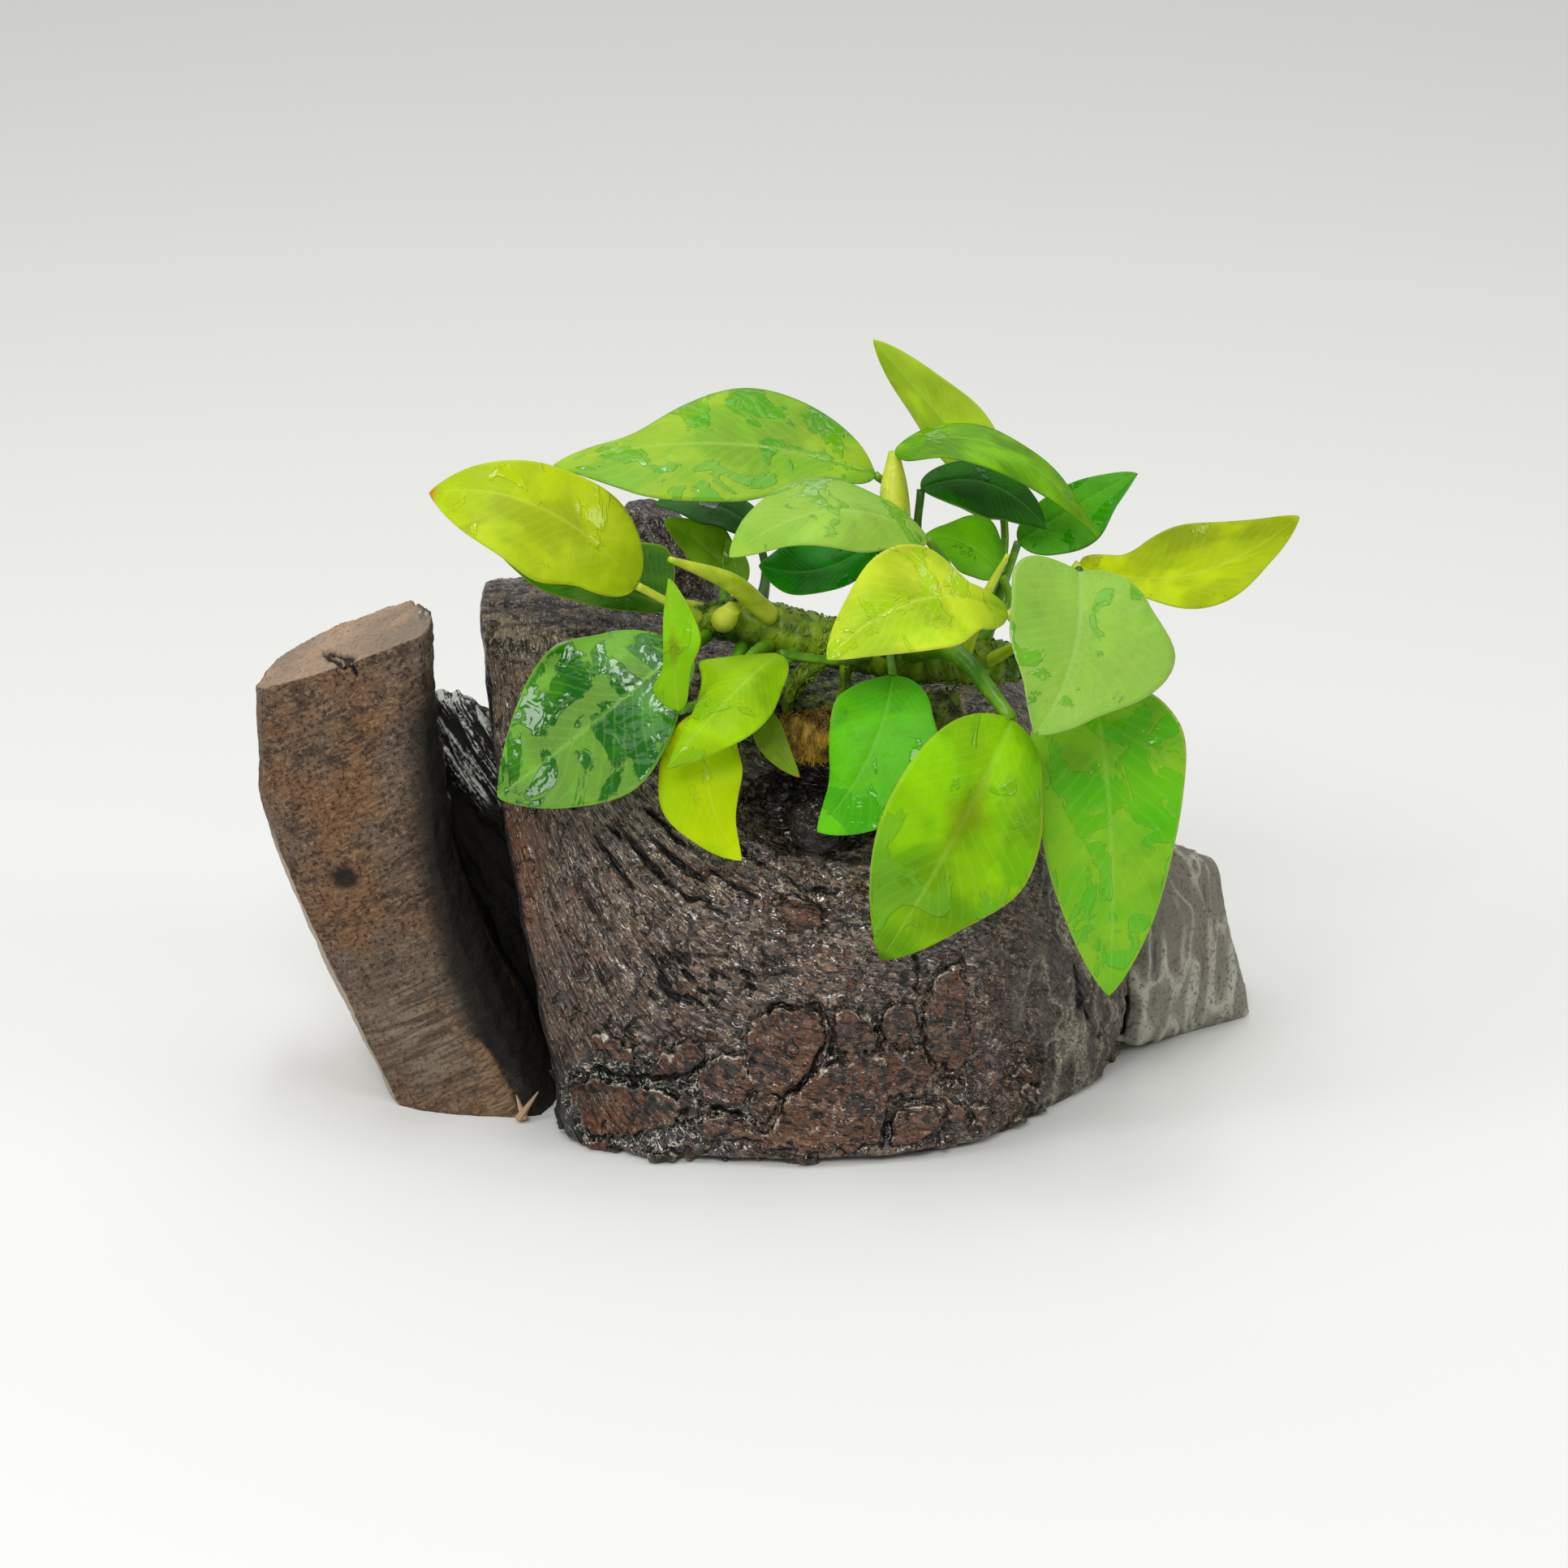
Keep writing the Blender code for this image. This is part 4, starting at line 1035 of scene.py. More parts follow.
# %% Colours of the left limb
dry_wood, tree, shader = new_finish("sawn driftwood")
place = add(tree, "TexCoord").outputs["Object"]
slanted = turned(tree, place, 28)
fibres = noise(tree, stretched(tree, slanted, (0.0026, 0.0012, 0.00055)), 1.0, 5, 0.7, 0.8)
patches = noise(tree, stretched(tree, slanted, (0.009, 0.004, 0.0045)), 1.0, 4, 0.6, 1.0)
strokes = noise(tree, stretched(tree, slanted, (0.014, 0.01, 0.0011)), 1.0, 3, 0.55, 0.6)
speckle = noise(tree, place, 1300, 5, 0.7)
clouds = noise(tree, place, 55, 3, 0.5, 0.5)
face = blend(tree, threshold(tree, clouds, 0.38, 0.66), paint(104, 88, 74), paint(122, 86, 54))
face = blend(tree, threshold(tree, patches, 0.5, 0.4, 0, 0.7), face, paint(56, 42, 32))
face = blend(tree, threshold(tree, fibres, 0.5, 0.66, 0, 0.6), face, paint(160, 130, 98))
face = blend(tree, threshold(tree, fibres, 0.46, 0.36, 0, 0.6), face, paint(46, 32, 22))
face = blend(tree, threshold(tree, speckle, 0.54, 0.6, 0, 0.85), face, paint(34, 22, 14))
face = blend(tree, threshold(tree, speckle, 0.42, 0.36, 0, 0.5), face, paint(176, 148, 118))
carved = blend(tree, threshold(tree, strokes, 0.4, 0.62), paint(86, 72, 58), paint(140, 124, 104))
carved = blend(tree, threshold(tree, speckle, 0.52, 0.6, 0, 0.6), carved, paint(52, 38, 28))
face = blend(tree, stored(tree, "carved"), face, carved)
torn = blend(tree, threshold(tree, fibres, 0.42, 0.58), paint(92, 70, 50), paint(146, 118, 90))
face = blend(tree, threshold(tree, stored(tree, "torn"), 0.25, 0.75), face, torn)
sawn = blend(tree, threshold(tree, clouds, 0.35, 0.65), paint(138, 121, 103), paint(170, 144, 119))
sawn = blend(tree, threshold(tree, speckle, 0.5, 0.66, 0, 0.7), sawn, paint(86, 66, 50))
colour = blend(tree, stored(tree, "cut"), face, sawn)
# Painted light: the outer side that faces left is lightened.
pale = threshold(tree, stored(tree, "pale"), 0.3, 0.9, 0, 0.85)
colour = blend(tree, pale, colour, paint(186, 174, 158))
print("nodes so far:", len(tree.nodes))

# %% [markdown]
# ## The web and the shaded side
# Light breaks on the wet ribs of the web as white stripes on black. Gloss alone leaves them grey,
# because the ribs are finer than the mesh, so the stripes are painted highlights, drawn out of
# noise that runs with the ribs, on painted shade. They are laid only on the crests, or the hollows
# would be speckled. Painted shade, nearly black, also fills the knot, the cracks, the troughs
# between the ribs and the side in shade.

# %% Web, shade and relief of the left limb
web = stored(tree, "web")
along_web = stretched(tree, turned(tree, place, -56), (0.013, 0.006, 0.0009))
stripes = about(tree, speckle, 0.5, 0.5, noise(tree, along_web, 1.0, 3, 0.6, 0.6))
stripes = times(tree, threshold(tree, stripes, 0.47, 0.6),
                threshold(tree, stored(tree, "ridge"), 0.02, 0.35))
# Painted highlights on the rib crests, on black painted shade.
colour = blend(tree, web, colour, blend(tree, stripes, paint(20, 17, 12), paint(236, 238, 228)))
# Painted shade: the knot, the cracks, the rib troughs and the shaded side go nearly black.
deep = most(tree, threshold(tree, stored(tree, "deep"), 0.1, 0.7, 0, 0.92),
            times(tree, stored(tree, "shade"), 0.93))
colour = blend(tree, deep, colour, paint(10, 6, 4))
plug(tree, shader.inputs["Base Color"], colour)
plug(tree, shader.inputs["Roughness"], threshold(tree, web, 0.2, 0.8, 0.7, 0.25))
shader.inputs["Specular IOR Level"].default_value = 0.35
bumps(tree, shader, sums(tree, "MULTIPLY_ADD", speckle, 0.8, fibres), 0.0005)
dress(left_limb, dry_wood)
finished(left_limb, "driftwood_left_limb")
print("nodes of the sawn wood:", len(tree.nodes))

# %% [markdown]
# ## Splinters
# Two chips of pale torn wood stand off the limb's foot. They could be carved out of it, but
# relief that leans over can't be lifted from a surface. So each is a cone with five sides,
# drawn out thin from its torn root to its tip. They are too small to be solids.

# %% Splinters
SPLINTERS = (((-46.8, -28.5, 0.7), (-43.2, -25.5, 4.8)), ((-45.6, -28.2, 0.5), (-47.2, -25, 3.9)))
CHIP_ROOT, CHIP_TIP = 0.9, 0.15


def splinter(number, ends):
    """A thin chip of torn wood, drawn out to a point."""
    start, end = (Vector(point) for point in ends)
    deselect()
    bpy.ops.mesh.primitive_cone_add(vertices=5, radius1=CHIP_ROOT * MM, radius2=CHIP_TIP * MM,
                                    depth=(end - start).length * MM,
                                    location=((start + end) / 2 + SHIFT) * MM,
                                    rotation=(end - start).to_track_quat("Z", "Y").to_euler())
    bpy.ops.object.transform_apply()
    piece = bpy.context.object
    piece.name = f"splinter_{number}"
    chip, _, chip_shader = new_finish(f"splinter {number}")
    chip_shader.inputs["Base Color"].default_value = paint(166, 138, 108)
    chip_shader.inputs["Roughness"].default_value = 0.8
    dress(piece, chip)
    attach(piece, BODY)


for number, ends in enumerate(SPLINTERS):
    splinter(number, ends)
print("splinters:", len(SPLINTERS))

# %% [markdown]
# ## The tail's finish
# The tail has dried to ash grey, palest on the crests of its wrinkles. Noise could paint wrinkles
# of its own there, but they would miss the carved ones. The kept number for grey follows those
# crests, so one blend makes them pale, and the rest is dark pores and clouds. The valleys between
# the wrinkles get painted shade.

# %% Finish of the tail
grey_wood, tree, shader = new_finish("grey driftwood")
place = add(tree, "TexCoord").outputs["Object"]
speckle = noise(tree, place, 1200, 5, 0.7)
clouds = noise(tree, place, 60, 3, 0.5)
crests = threshold(tree, stored(tree, "grey"), 0.05, 0.95)
ash = blend(tree, crests, paint(110, 106, 94), paint(188, 188, 172))
ash = blend(tree, threshold(tree, clouds, 0.4, 0.7, 0, 0.5), ash, paint(134, 122, 104))
ash = blend(tree, threshold(tree, speckle, 0.52, 0.62, 0, 0.75), ash, paint(66, 60, 48))
# Painted shade in the valleys between the wrinkles.
ash = blend(tree, threshold(tree, stored(tree, "deep"), 0.1, 0.6, 0, 0.7), ash, paint(44, 37, 30))
plug(tree, shader.inputs["Base Color"], ash)
shader.inputs["Roughness"].default_value = 0.5
bumps(tree, shader, speckle, 0.0005)
dress(tail, grey_wood)
finished(tail, "driftwood_tail")
print("wood finishes: 3")

# %% [markdown]
# ## The leaves' measures
# The plant has 24 leaves, and no two lie the same way. One blade could be copied and bent
# each time, but the copies would look alike. So each leaf is given by its midrib's base,
# middle and tip, the way its upper side faces, its half widths right and left of the midrib,
# and how far each half folds up. They are the measures of the solids, so each fine blade lies
# in the solid that it replaces.

# %% Leaf measures
LEAVES = {
    "far_left": dict(rib=((-24.5, -12, 97), (-41, -17, 113), (-60, -14, 114.5)),
                     face=(0.1, -0.62, 0.78), right=(9, 9, 7.5, 4.5), left=(9, 14, 13, 9),
                     fold=(0.15, 0.05), stalk=((-14, -6.5, 89), (-18, -10, 92.5))),
    "below_far_left": dict(rib=((-19.5, -5, 91), (-32, -2, 94), (-51, 2, 100)),
                           face=(0.1, -0.4, 0.9), right=(13, 12, 9, 5), left=(3, 5, 5, 4),
                           fold=(0.1, -0.3), stalk=((-12.5, -3, 89), (-15.5, -3.5, 90.5))),
    "top": dict(rib=((17.5, 8, 111), (-10, 2, 118.5), (-39, -4, 116.5)),
                face=(0.05, -0.32, 0.95), right=(15, 16, 10.5, 3.5), left=(7, 13, 13.5, 11),
                fold=(0.05, -0.15), stalk=((14, -4, 86), (22.5, 11, 104))),
    "middle": dict(rib=((26, -16, 107), (9, -23, 114), (-8, -28, 107.5)),
                   face=(0, -0.3, 0.95), right=(7, 12, 11.5, 7), left=(7, 9, 8, 5),
                   fold=(-0.05, -0.2), stalk=((27, -8, 83), (30.5, -13, 98))),
    "under_middle": dict(rib=((17, -9, 104), (7, -13, 100), (-3, -16, 102)),
                         face=(0, -0.6, 0.8), right=(5, 7, 7, 5), left=(4, 5, 5, 4),
                         fold=(0, 0), stalk=((15.5, -9.5, 86), (19.5, -8, 97))),
    "golden": dict(rib=((40, -21, 95), (24, -33, 101.5), (8.5, -39, 93)),
                   face=(-0.1, -0.75, 0.65), right=(3, 9, 9.5, 5.5), left=(6, 10, 9.5, 6.5),
                   fold=(0.15, 0.1), stalk=((37, -8, 81), (43, -15, 88))),
    "right_round": dict(rib=((52, -22, 103), (50.5, -36, 93), (43.5, -47, 82.5)),
                        face=(0.15, -0.6, 0.78), right=(12, 12.5, 11, 6), left=(12, 17, 14, 7),
                        lobes=(8, 1), fold=(0.1, 0.05), stalk=((40, -6, 80.5), (53, -13, 96))),
    "hanging_right": dict(rib=((55, -25, 82), (58, -34, 58.5), (58.5, -36, 29)),
                          face=(0.1, -0.97, 0.2), right=(12.5, 12.5, 11.5, 7.5),
                          left=(14, 13, 10, 6.5), lobes=(6, 3), fold=(0.1, 0.1),
                          stalk=((43.5, -5.5, 78.5), (50.5, -17, 86.5))),
    "hanging_centre": dict(rib=((40, -36, 81), (30.5, -46, 64), (18, -46, 40.5)),
                           face=(0.05, -0.97, 0.25), right=(11, 13, 12.5, 8.5),
                           left=(9.5, 13.5, 14, 8.5), fold=(0.05, 0.1),
                           stalk=((22, -9, 83), (31, -22, 88))),
    "hanging_small": dict(rib=((20, -28, 86), (16, -37, 75), (7, -40, 62)),
                          face=(-0.1, -0.85, 0.5), right=(8.5, 8.5, 6.5, 3.2),
                          left=(8, 12, 11.5, 8), fold=(0.05, 0.05),
                          stalk=((19, -10, 83.5), (19.5, -18, 87.5))),
    "curled": dict(rib=((0.5, -28, 90), (-8, -39, 86), (-18.5, -42, 74.5)),
                   face=(-0.2, -0.7, 0.65), right=(13, 10, 6.5, 3), left=(5, 7, 7, 4.5),
                   fold=(-0.45, -0.25), stalk=((16, -11, 83.5), (10, -23, 87))),
    "pale_hanging": dict(rib=((-10, -33, 81), (-11.5, -39, 69.5), (-6, -42, 57.5)),
                         face=(0, -0.97, 0.2), right=(7, 8.5, 8.5, 5), left=(5, 6, 4.6, 2.4),
                         fold=(-0.1, -0.1), stalk=((-1, -9, 85), (-5, -22, 87))),
    "small_pointed": dict(rib=((-2.5, -27, 80), (-0.5, -31.5, 75.5), (4, -35, 70)),
                          face=(0.2, -0.95, 0.2), right=(2.5, 3, 2.8, 1.8), left=(2, 2.4, 2, 1.3),
                          fold=(0.1, 0.1), stalk=((3.5, -10, 84), (1, -18, 84))),
    "folded_upright": dict(rib=((-16.5, -36.5, 83), (-17.4, -34.5, 92), (-18.2, -29, 104)),
                           face=(0.3, 0.9, 0.1), right=(5, 2.5, 1.8, 1.4), left=(2, 3, 5, 3.5),
                           fold=(0.1, 0.1), stalk=((-6, -10.5, 85), (-9.5, -28, 83))),
    "left_dark": dict(rib=((-16.5, -20, 88.5), (-30, -32, 80), (-48, -35.5, 66.5)),
                      face=(-0.3, -0.75, 0.6), right=(12, 16, 14.5, 9.5), left=(7.5, 12.5, 15, 10),
                      fold=(0.1, 0.05), stalk=((-12.5, -7.5, 86), (-14, -14.5, 87))),
    "upright": dict(rib=((40.5, 20, 106), (29, 25, 118), (17.5, 26, 131)),
                    face=(0.3, 0.9, 0.2), right=(6, 6.5, 5.2, 3.3), left=(6, 6.5, 5.2, 3.3),
                    fold=(0.15, 0.15), stalk=((34, -2.5, 82), (41, 12, 94))),
    "arched": dict(rib=((21, 6, 116), (39.5, 3, 117.5), (57, 0, 101.8)),
                   face=(0, -0.05, 1), right=(8, 9.5, 7, 4), left=(6.5, 8, 6, 5),
                   fold=(-0.15, 0.0), stalk=((22, -4, 84), (21, 4, 106)),
                   stalk_radii=(2.6, 2.8, 1.0)),
    "behind_arched": dict(rib=((44, 15, 96), (54.5, 15, 103), (64.7, 12, 110)),
                          face=(0.3, -0.6, 0.75), right=(6.5, 8, 7.5, 4.3),
                          left=(4, 4.5, 4, 2.5), fold=(0.1, 0.1),
                          stalk=((36.5, -3, 81), (41, 8, 90))),
    "shaded": dict(rib=((26, 9, 108), (38, 12, 108), (48.5, 9, 100.5)),
                   face=(0, -0.5, 0.85), right=(6, 8, 8, 5), left=(4, 5, 5, 3),
                   fold=(0, 0), stalk=((30, -4, 83), (25.5, 6, 98))),
    "back_round": dict(rib=((40, -2, 95.5), (33.5, -1, 101), (26, 1, 101.5)),
                       face=(0, -0.5, 0.85), right=(5, 7, 6, 3), left=(5, 6, 5, 3.5),
                       fold=(0, 0), stalk=((33.5, -7, 82), (41, -2.5, 90))),
    "far_right": dict(rib=((54, 0, 97), (74.5, 4, 93.5), (94, 10, 102.5)),
                      face=(0, -0.25, 0.95), right=(6.5, 10, 9, 5), left=(6, 11.5, 13, 9),
                      fold=(0.0, 0.1), stalk=((42.5, -2, 80.5), (48, -1, 89))),
    "back_left_dark": dict(rib=((-4, 16, 98), (-12, 17, 102.5), (-22, 15, 103)),
                           face=(0, -0.3, 0.95), right=(5, 7, 7, 4), left=(5, 6, 6, 4),
                           fold=(0, 0), stalk=((-3, -3, 89), (-2, 8, 93))),
    "back_left_bright": dict(rib=((-9, 10, 92.5), (-14, 14, 96), (-20.5, 17, 99.5)),
                             face=(0, -0.8, 0.5), right=(4, 5, 4, 2.5), left=(3, 3.5, 3, 2),
                             fold=(0, 0), stalk=((-9, -2, 90), (-9.5, 5, 91.5))),
    "back_left_small": dict(rib=((-6.5, 2, 92), (-7.5, 4, 95.5), (-9, 6, 99.5)),
                            face=(0, -0.95, 0.2), right=(2, 2.4, 2.2, 1.4),
                            left=(1.8, 2.2, 2, 1.2), fold=(0.1, 0.1),
                            stalk=((-6, -2.5, 89.5), (-6, 0, 91))),
}
print("leaves:", len(LEAVES))

# %% [markdown]
# ## Leaf looks
# No two leaves have the same green: the young ones are yellow and full of light, the shaded
# ones dark. A finish for each could be set up by hand. One table does it with less room for
# slips. It gives the blade's main colour, the colour of its wet dark patches and of its
# margin, how much of it a grey bloom veils, how much light shines through, and how much of it
# the patches cover.

# %% Leaf looks
LOOKS = {
    "far_left": dict(main=(185, 211, 8), wet=(204, 224, 2), rim=(205, 222, 60), veil=0.25,
                     glow=0.4, patches=0.2, tip=(214, 150, 30)),
    "below_far_left": dict(main=(92, 150, 18), wet=(70, 140, 10), rim=(190, 205, 50),
                           veil=0.05, glow=0.3, patches=0.2),
    "top": dict(main=(149, 193, 20), wet=(92, 176, 1), rim=(140, 190, 60), veil=0.5, glow=0.3,
                patches=0.5),
    "middle": dict(main=(137, 188, 47), wet=(106, 178, 23), rim=(160, 200, 90), veil=0.55,
                   glow=0.25, patches=0.3),
    "under_middle": dict(main=(21, 143, 0), wet=(14, 127, 0), rim=(70, 140, 30), veil=0.1,
                         glow=0.15, patches=0.3),
    "golden": dict(main=(226, 244, 44), wet=(188, 228, 10), rim=(244, 230, 90), veil=0.3,
                   glow=0.45, patches=0.45),
    "right_round": dict(main=(122, 178, 45), wet=(96, 174, 26), rim=(170, 200, 110), veil=0.7,
                        glow=0.25, patches=0.15),
    "hanging_right": dict(main=(145, 216, 22), wet=(102, 209, 0), rim=(200, 210, 90), veil=0.5,
                          glow=0.35, patches=0.6),
    "hanging_centre": dict(main=(151, 209, 0), wet=(125, 198, 0), rim=(190, 214, 60),
                           veil=0.12, glow=0.4, patches=0.3, tip=(96, 132, 4), bruise=0.42),
    "hanging_small": dict(main=(90, 193, 0), wet=(69, 178, 0), rim=(130, 196, 50), veil=0.2,
                          glow=0.3, patches=0.35),
    "curled": dict(main=(170, 213, 1), wet=(152, 204, 1), rim=(160, 212, 60), veil=0.1,
                   glow=0.4, patches=0.2),
    "pale_hanging": dict(main=(205, 240, 0), wet=(214, 240, 0), rim=(214, 226, 40), veil=0.05,
                         glow=0.5, patches=0.1),
    "small_pointed": dict(main=(128, 164, 20), wet=(140, 172, 30), rim=(170, 190, 60),
                          veil=0.1, glow=0.35, patches=0.1, tip=(220, 140, 20)),
    "folded_upright": dict(main=(132, 197, 0), wet=(150, 208, 0), rim=(170, 210, 40), veil=0.1,
                           glow=0.4, patches=0.2, bruise=0.55),
    "left_dark": dict(main=(84, 164, 8), wet=(18, 100, 0), rim=(140, 196, 60), veil=0.6,
                      glow=0.2, patches=0.7),
    "upright": dict(main=(193, 222, 58), wet=(180, 212, 45), rim=(180, 200, 90), veil=0.1,
                    glow=0.45, patches=0.05),
    "arched": dict(main=(131, 199, 0), wet=(95, 164, 0), rim=(110, 170, 40), veil=0.15,
                   glow=0.35, patches=0.1),
    "behind_arched": dict(main=(66, 169, 0), wet=(52, 154, 0), rim=(90, 160, 60), veil=0.4,
                          glow=0.25, patches=0.4),
    "shaded": dict(main=(29, 110, 0), wet=(19, 92, 0), rim=(150, 176, 90), veil=0.1, glow=0.2,
                   patches=0.2),
    "back_round": dict(main=(102, 180, 0), wet=(77, 160, 0), rim=(110, 170, 50), veil=0.15,
                       glow=0.3, patches=0.2),
    "far_right": dict(main=(192, 209, 0), wet=(175, 197, 0), rim=(200, 216, 60), veil=0.05,
                      glow=0.5, patches=0.1),
    "back_left_dark": dict(main=(28, 92, 24), wet=(22, 80, 16), rim=(60, 120, 40), veil=0.15,
                           glow=0.15, patches=0.2),
    "back_left_bright": dict(main=(136, 184, 20), wet=(120, 170, 14), rim=(170, 200, 50),
                             veil=0.1, glow=0.4, patches=0.1),
    "back_left_small": dict(main=(116, 170, 20), wet=(100, 160, 14), rim=(190, 210, 80),
                            veil=0.1, glow=0.4, patches=0.1),
}
print("looks:", len(LOOKS))

# %% [markdown]
# ## The shape of a blade
# Seen flat, a blade is an egg with a drawn out tip, a little wider on one side than on the
# other. Its outline could be traced point by point. Four half widths on each side say the
# same, because a smooth curve can be led through them, and the midrib is one bow.

# %% Outline and midrib of a blade
WIDTH_PLACES = (0.2, 0.4, 0.6, 0.8)


def edge_shape(t):
    return t ** 0.5 * (1 - t) ** 0.8


def smooth_between(before, start, end, after, t):
    """The point at t on a smooth curve from start to end."""
    return 0.5 * (2 * start + (end - before) * t
                  + (2 * before - 5 * start + 4 * end - after) * t ** 2
                  + (3 * start - before - 3 * end + after) * t ** 3)


def half_width(sizes, t):
    """Half a blade's width at t, from its sizes at four places."""
    ratios = [size / edge_shape(place) for size, place in zip(sizes, WIDTH_PLACES)]
    padded = [ratios[0], *ratios, ratios[-1], ratios[-1]]
    spot = min(max((t - 0.2) / 0.2, 0), 3)
    span = min(int(spot), 2)
    return smooth_between(*padded[span:span + 4], spot - span) * edge_shape(t)


def rib_frame(leaf, t):
    """The midrib point, its direction, the sideways direction and the upward one at t."""
    base, middle, tip = (Vector(point) for point in leaf["rib"])
    control = 2 * middle - (base + tip) / 2
    point = base * (1 - t) ** 2 + control * 2 * t * (1 - t) + tip * t ** 2
    along = ((control - base) * (1 - t) + (tip - control) * t).normalized()
    side = along.cross(Vector(leaf["face"])).normalized()
    return point, along, side, side.cross(along)


print("width of the top leaf at its middle:",
      round(sum(half_width(LEAVES["top"][hand], 0.5) for hand in ("right", "left")), 1), "mm")

# %% [markdown]
# ## The lift of a blade
# A real blade is never flat. It could be bent by a lattice and its veins pressed in by hand.
# Here every point is lifted by five parts added up: the fold of the half, the groove of the
# midrib, the side veins in swept arcs, a slow roll, and a wave that grows towards the margin.
# The leaf's number shifts the roll and the wave, so that no two blades wave alike.

# %% Lift of a blade
VEINS = 9
VEIN_SWEEP = 0.26
GROOVE_DEPTH, GROOVE_WIDTH = 0.28, 0.55
VEIN_DEPTH, ROLL, WAVE = 0.05, 0.35, 0.45
FULL_SIZE = 5


def blade_lift(half, t, across, fold, number):
    """How far a point of the blade rises from the plane of its midrib."""
    out = abs(across)
    hand = 0 if across > 0 else 1
    bow = half * math.sin(fold) * out ** 1.5
    body = min(1, half / FULL_SIZE)
    groove = -GROOVE_DEPTH * math.exp(-(out * half / GROOVE_WIDTH) ** 2) * (1 - 0.7 * t)
    swept = t - VEIN_SWEEP * out ** 0.85 + 0.02 * hand
    swept += 0.012 * math.sin(31 * out + 17 * t + number)
    veins = -VEIN_DEPTH * math.cos(2 * math.pi * VEINS * swept) ** 4 * body * (1 - out ** 4)
    veins += ROLL * body * out * math.sin(7 * t + 3 * across + 1.7 * number)
    wave = WAVE * body * out ** 3 * math.sin(9 * t + 1.9 * number + 2.2 * hand)
    return bow + groove + veins + wave


def blade_spot(leaf, t, across, number):
    """A point of the blade. across runs from -1 at the left margin to 1 at the right."""
    point, along, side, up = rib_frame(leaf, t)
    hand = 0 if across > 0 else 1
    sizes = leaf[("right", "left")[hand]]
    half = half_width(sizes, t)
    fold = leaf["fold"][hand]
    lobe = leaf.get("lobes", (0, 0))[hand] * half * abs(across) / sizes[1] * (1 - t) ** 2
    spot = point + side * half * across * math.cos(fold) - along * lobe
    return spot + up * blade_lift(half, t, across, fold, number)


print("tip of the top leaf:", [round(v, 1) for v in blade_spot(LEAVES["top"], 1, 0, 2)])

# %% [markdown]
# ## Leaf blades
# A blade starts as a flat grid, because the grid's own map says where along and across the
# leaf a point lies, and the finish needs that for its veins. The grid's rows are closer at
# base and tip, where the blade narrows. Solidify then gives the sheet its leathery thickness,
# less at the margin, with the underside as a surface of its own.

# %% Make a blade
BLADE_ACROSS = 28
BLADE_ALONG = 44
BLADE_THICKNESS = 0.5
MARGIN_SHARE = 0.45
WELD_REACH = 0.00002


def blade(key, number):
    """One leaf blade, made from a flat grid."""
    leaf = LEAVES[key]
    deselect()
    bpy.ops.mesh.primitive_grid_add(x_subdivisions=BLADE_ACROSS, y_subdivisions=BLADE_ALONG, size=2)
    piece = bpy.context.object
    piece.name = "blade_" + key
    thin = piece.vertex_groups.new(name="thin")
    for vertex in piece.data.vertices:
        across, rise = vertex.co.x, (vertex.co.y + 1) / 2
        t = 0.5 - 0.5 * math.cos(math.pi * rise)
        vertex.co = (blade_spot(leaf, t, across, number) + SHIFT) * MM
        thin.add([vertex.index], 1 - (1 - MARGIN_SHARE) * abs(across) ** 3, "REPLACE")
    make_active(piece)
    weld(WELD_REACH)
    apply_modifier(piece, "thickness", "SOLIDIFY", thickness=BLADE_THICKNESS * MM, offset=0,
                   vertex_group="thin", material_offset=1, material_offset_rim=0)
    return piece


print("points of a grid:", (BLADE_ACROSS + 1) * (BLADE_ALONG + 1))

# %% [markdown]
# ## Leaf colours
# The upper side is waxy. Its colour drifts between two greens, darkens in slow clouds of painted
# shade, lightens in clouds of painted light, and pales along the midrib and the side veins, and the
# margin has a colour of its own. Two leaves have an orange tip and two a brown bruise. The veins
# could be painted by hand. They come instead from the same swept arcs that shape the blade, so
# colour and relief agree.

# %% Places on a leaf
def leaf_places(tree, place):
    """Where a point lies on the leaf: along, out from the midrib, and the vein pattern."""
    map_node = add(tree, "UVMap")
    parts = add(tree, "SeparateXYZ", Vector=map_node.outputs["UV"])
    across = sums(tree, "MULTIPLY_ADD", parts.outputs["X"], 2, -1)
    out = sums(tree, "ABSOLUTE", across)
    turn = sums(tree, "COSINE", times(tree, parts.outputs["Y"], math.pi))
    t = sums(tree, "MULTIPLY_ADD", turn, -0.5, 0.5)
    arc = times(tree, sums(tree, "POWER", out, 0.85), VEIN_SWEEP)
    swept = sums(tree, "SUBTRACT", t, arc)
    swept = sums(tree, "MULTIPLY_ADD", noise(tree, place, 160, 2), 0.05, swept)
    return t, out, sums(tree, "COSINE", times(tree, swept, 4 * math.pi * VEINS))


print("side veins to a half:", 2 * VEINS)

# %% Colours of a leaf
PALE, BLOOM = (78, 78, 78), (84, 84, 48)
BRUISE_REACH, BRUISE_SIDE = 2.6, 1.3


def toned(colour, share, lifts):
    """A screen colour, scaled and lifted."""
    return paint(*(min(255, share * value + lift) for value, lift in zip(colour, lifts)))


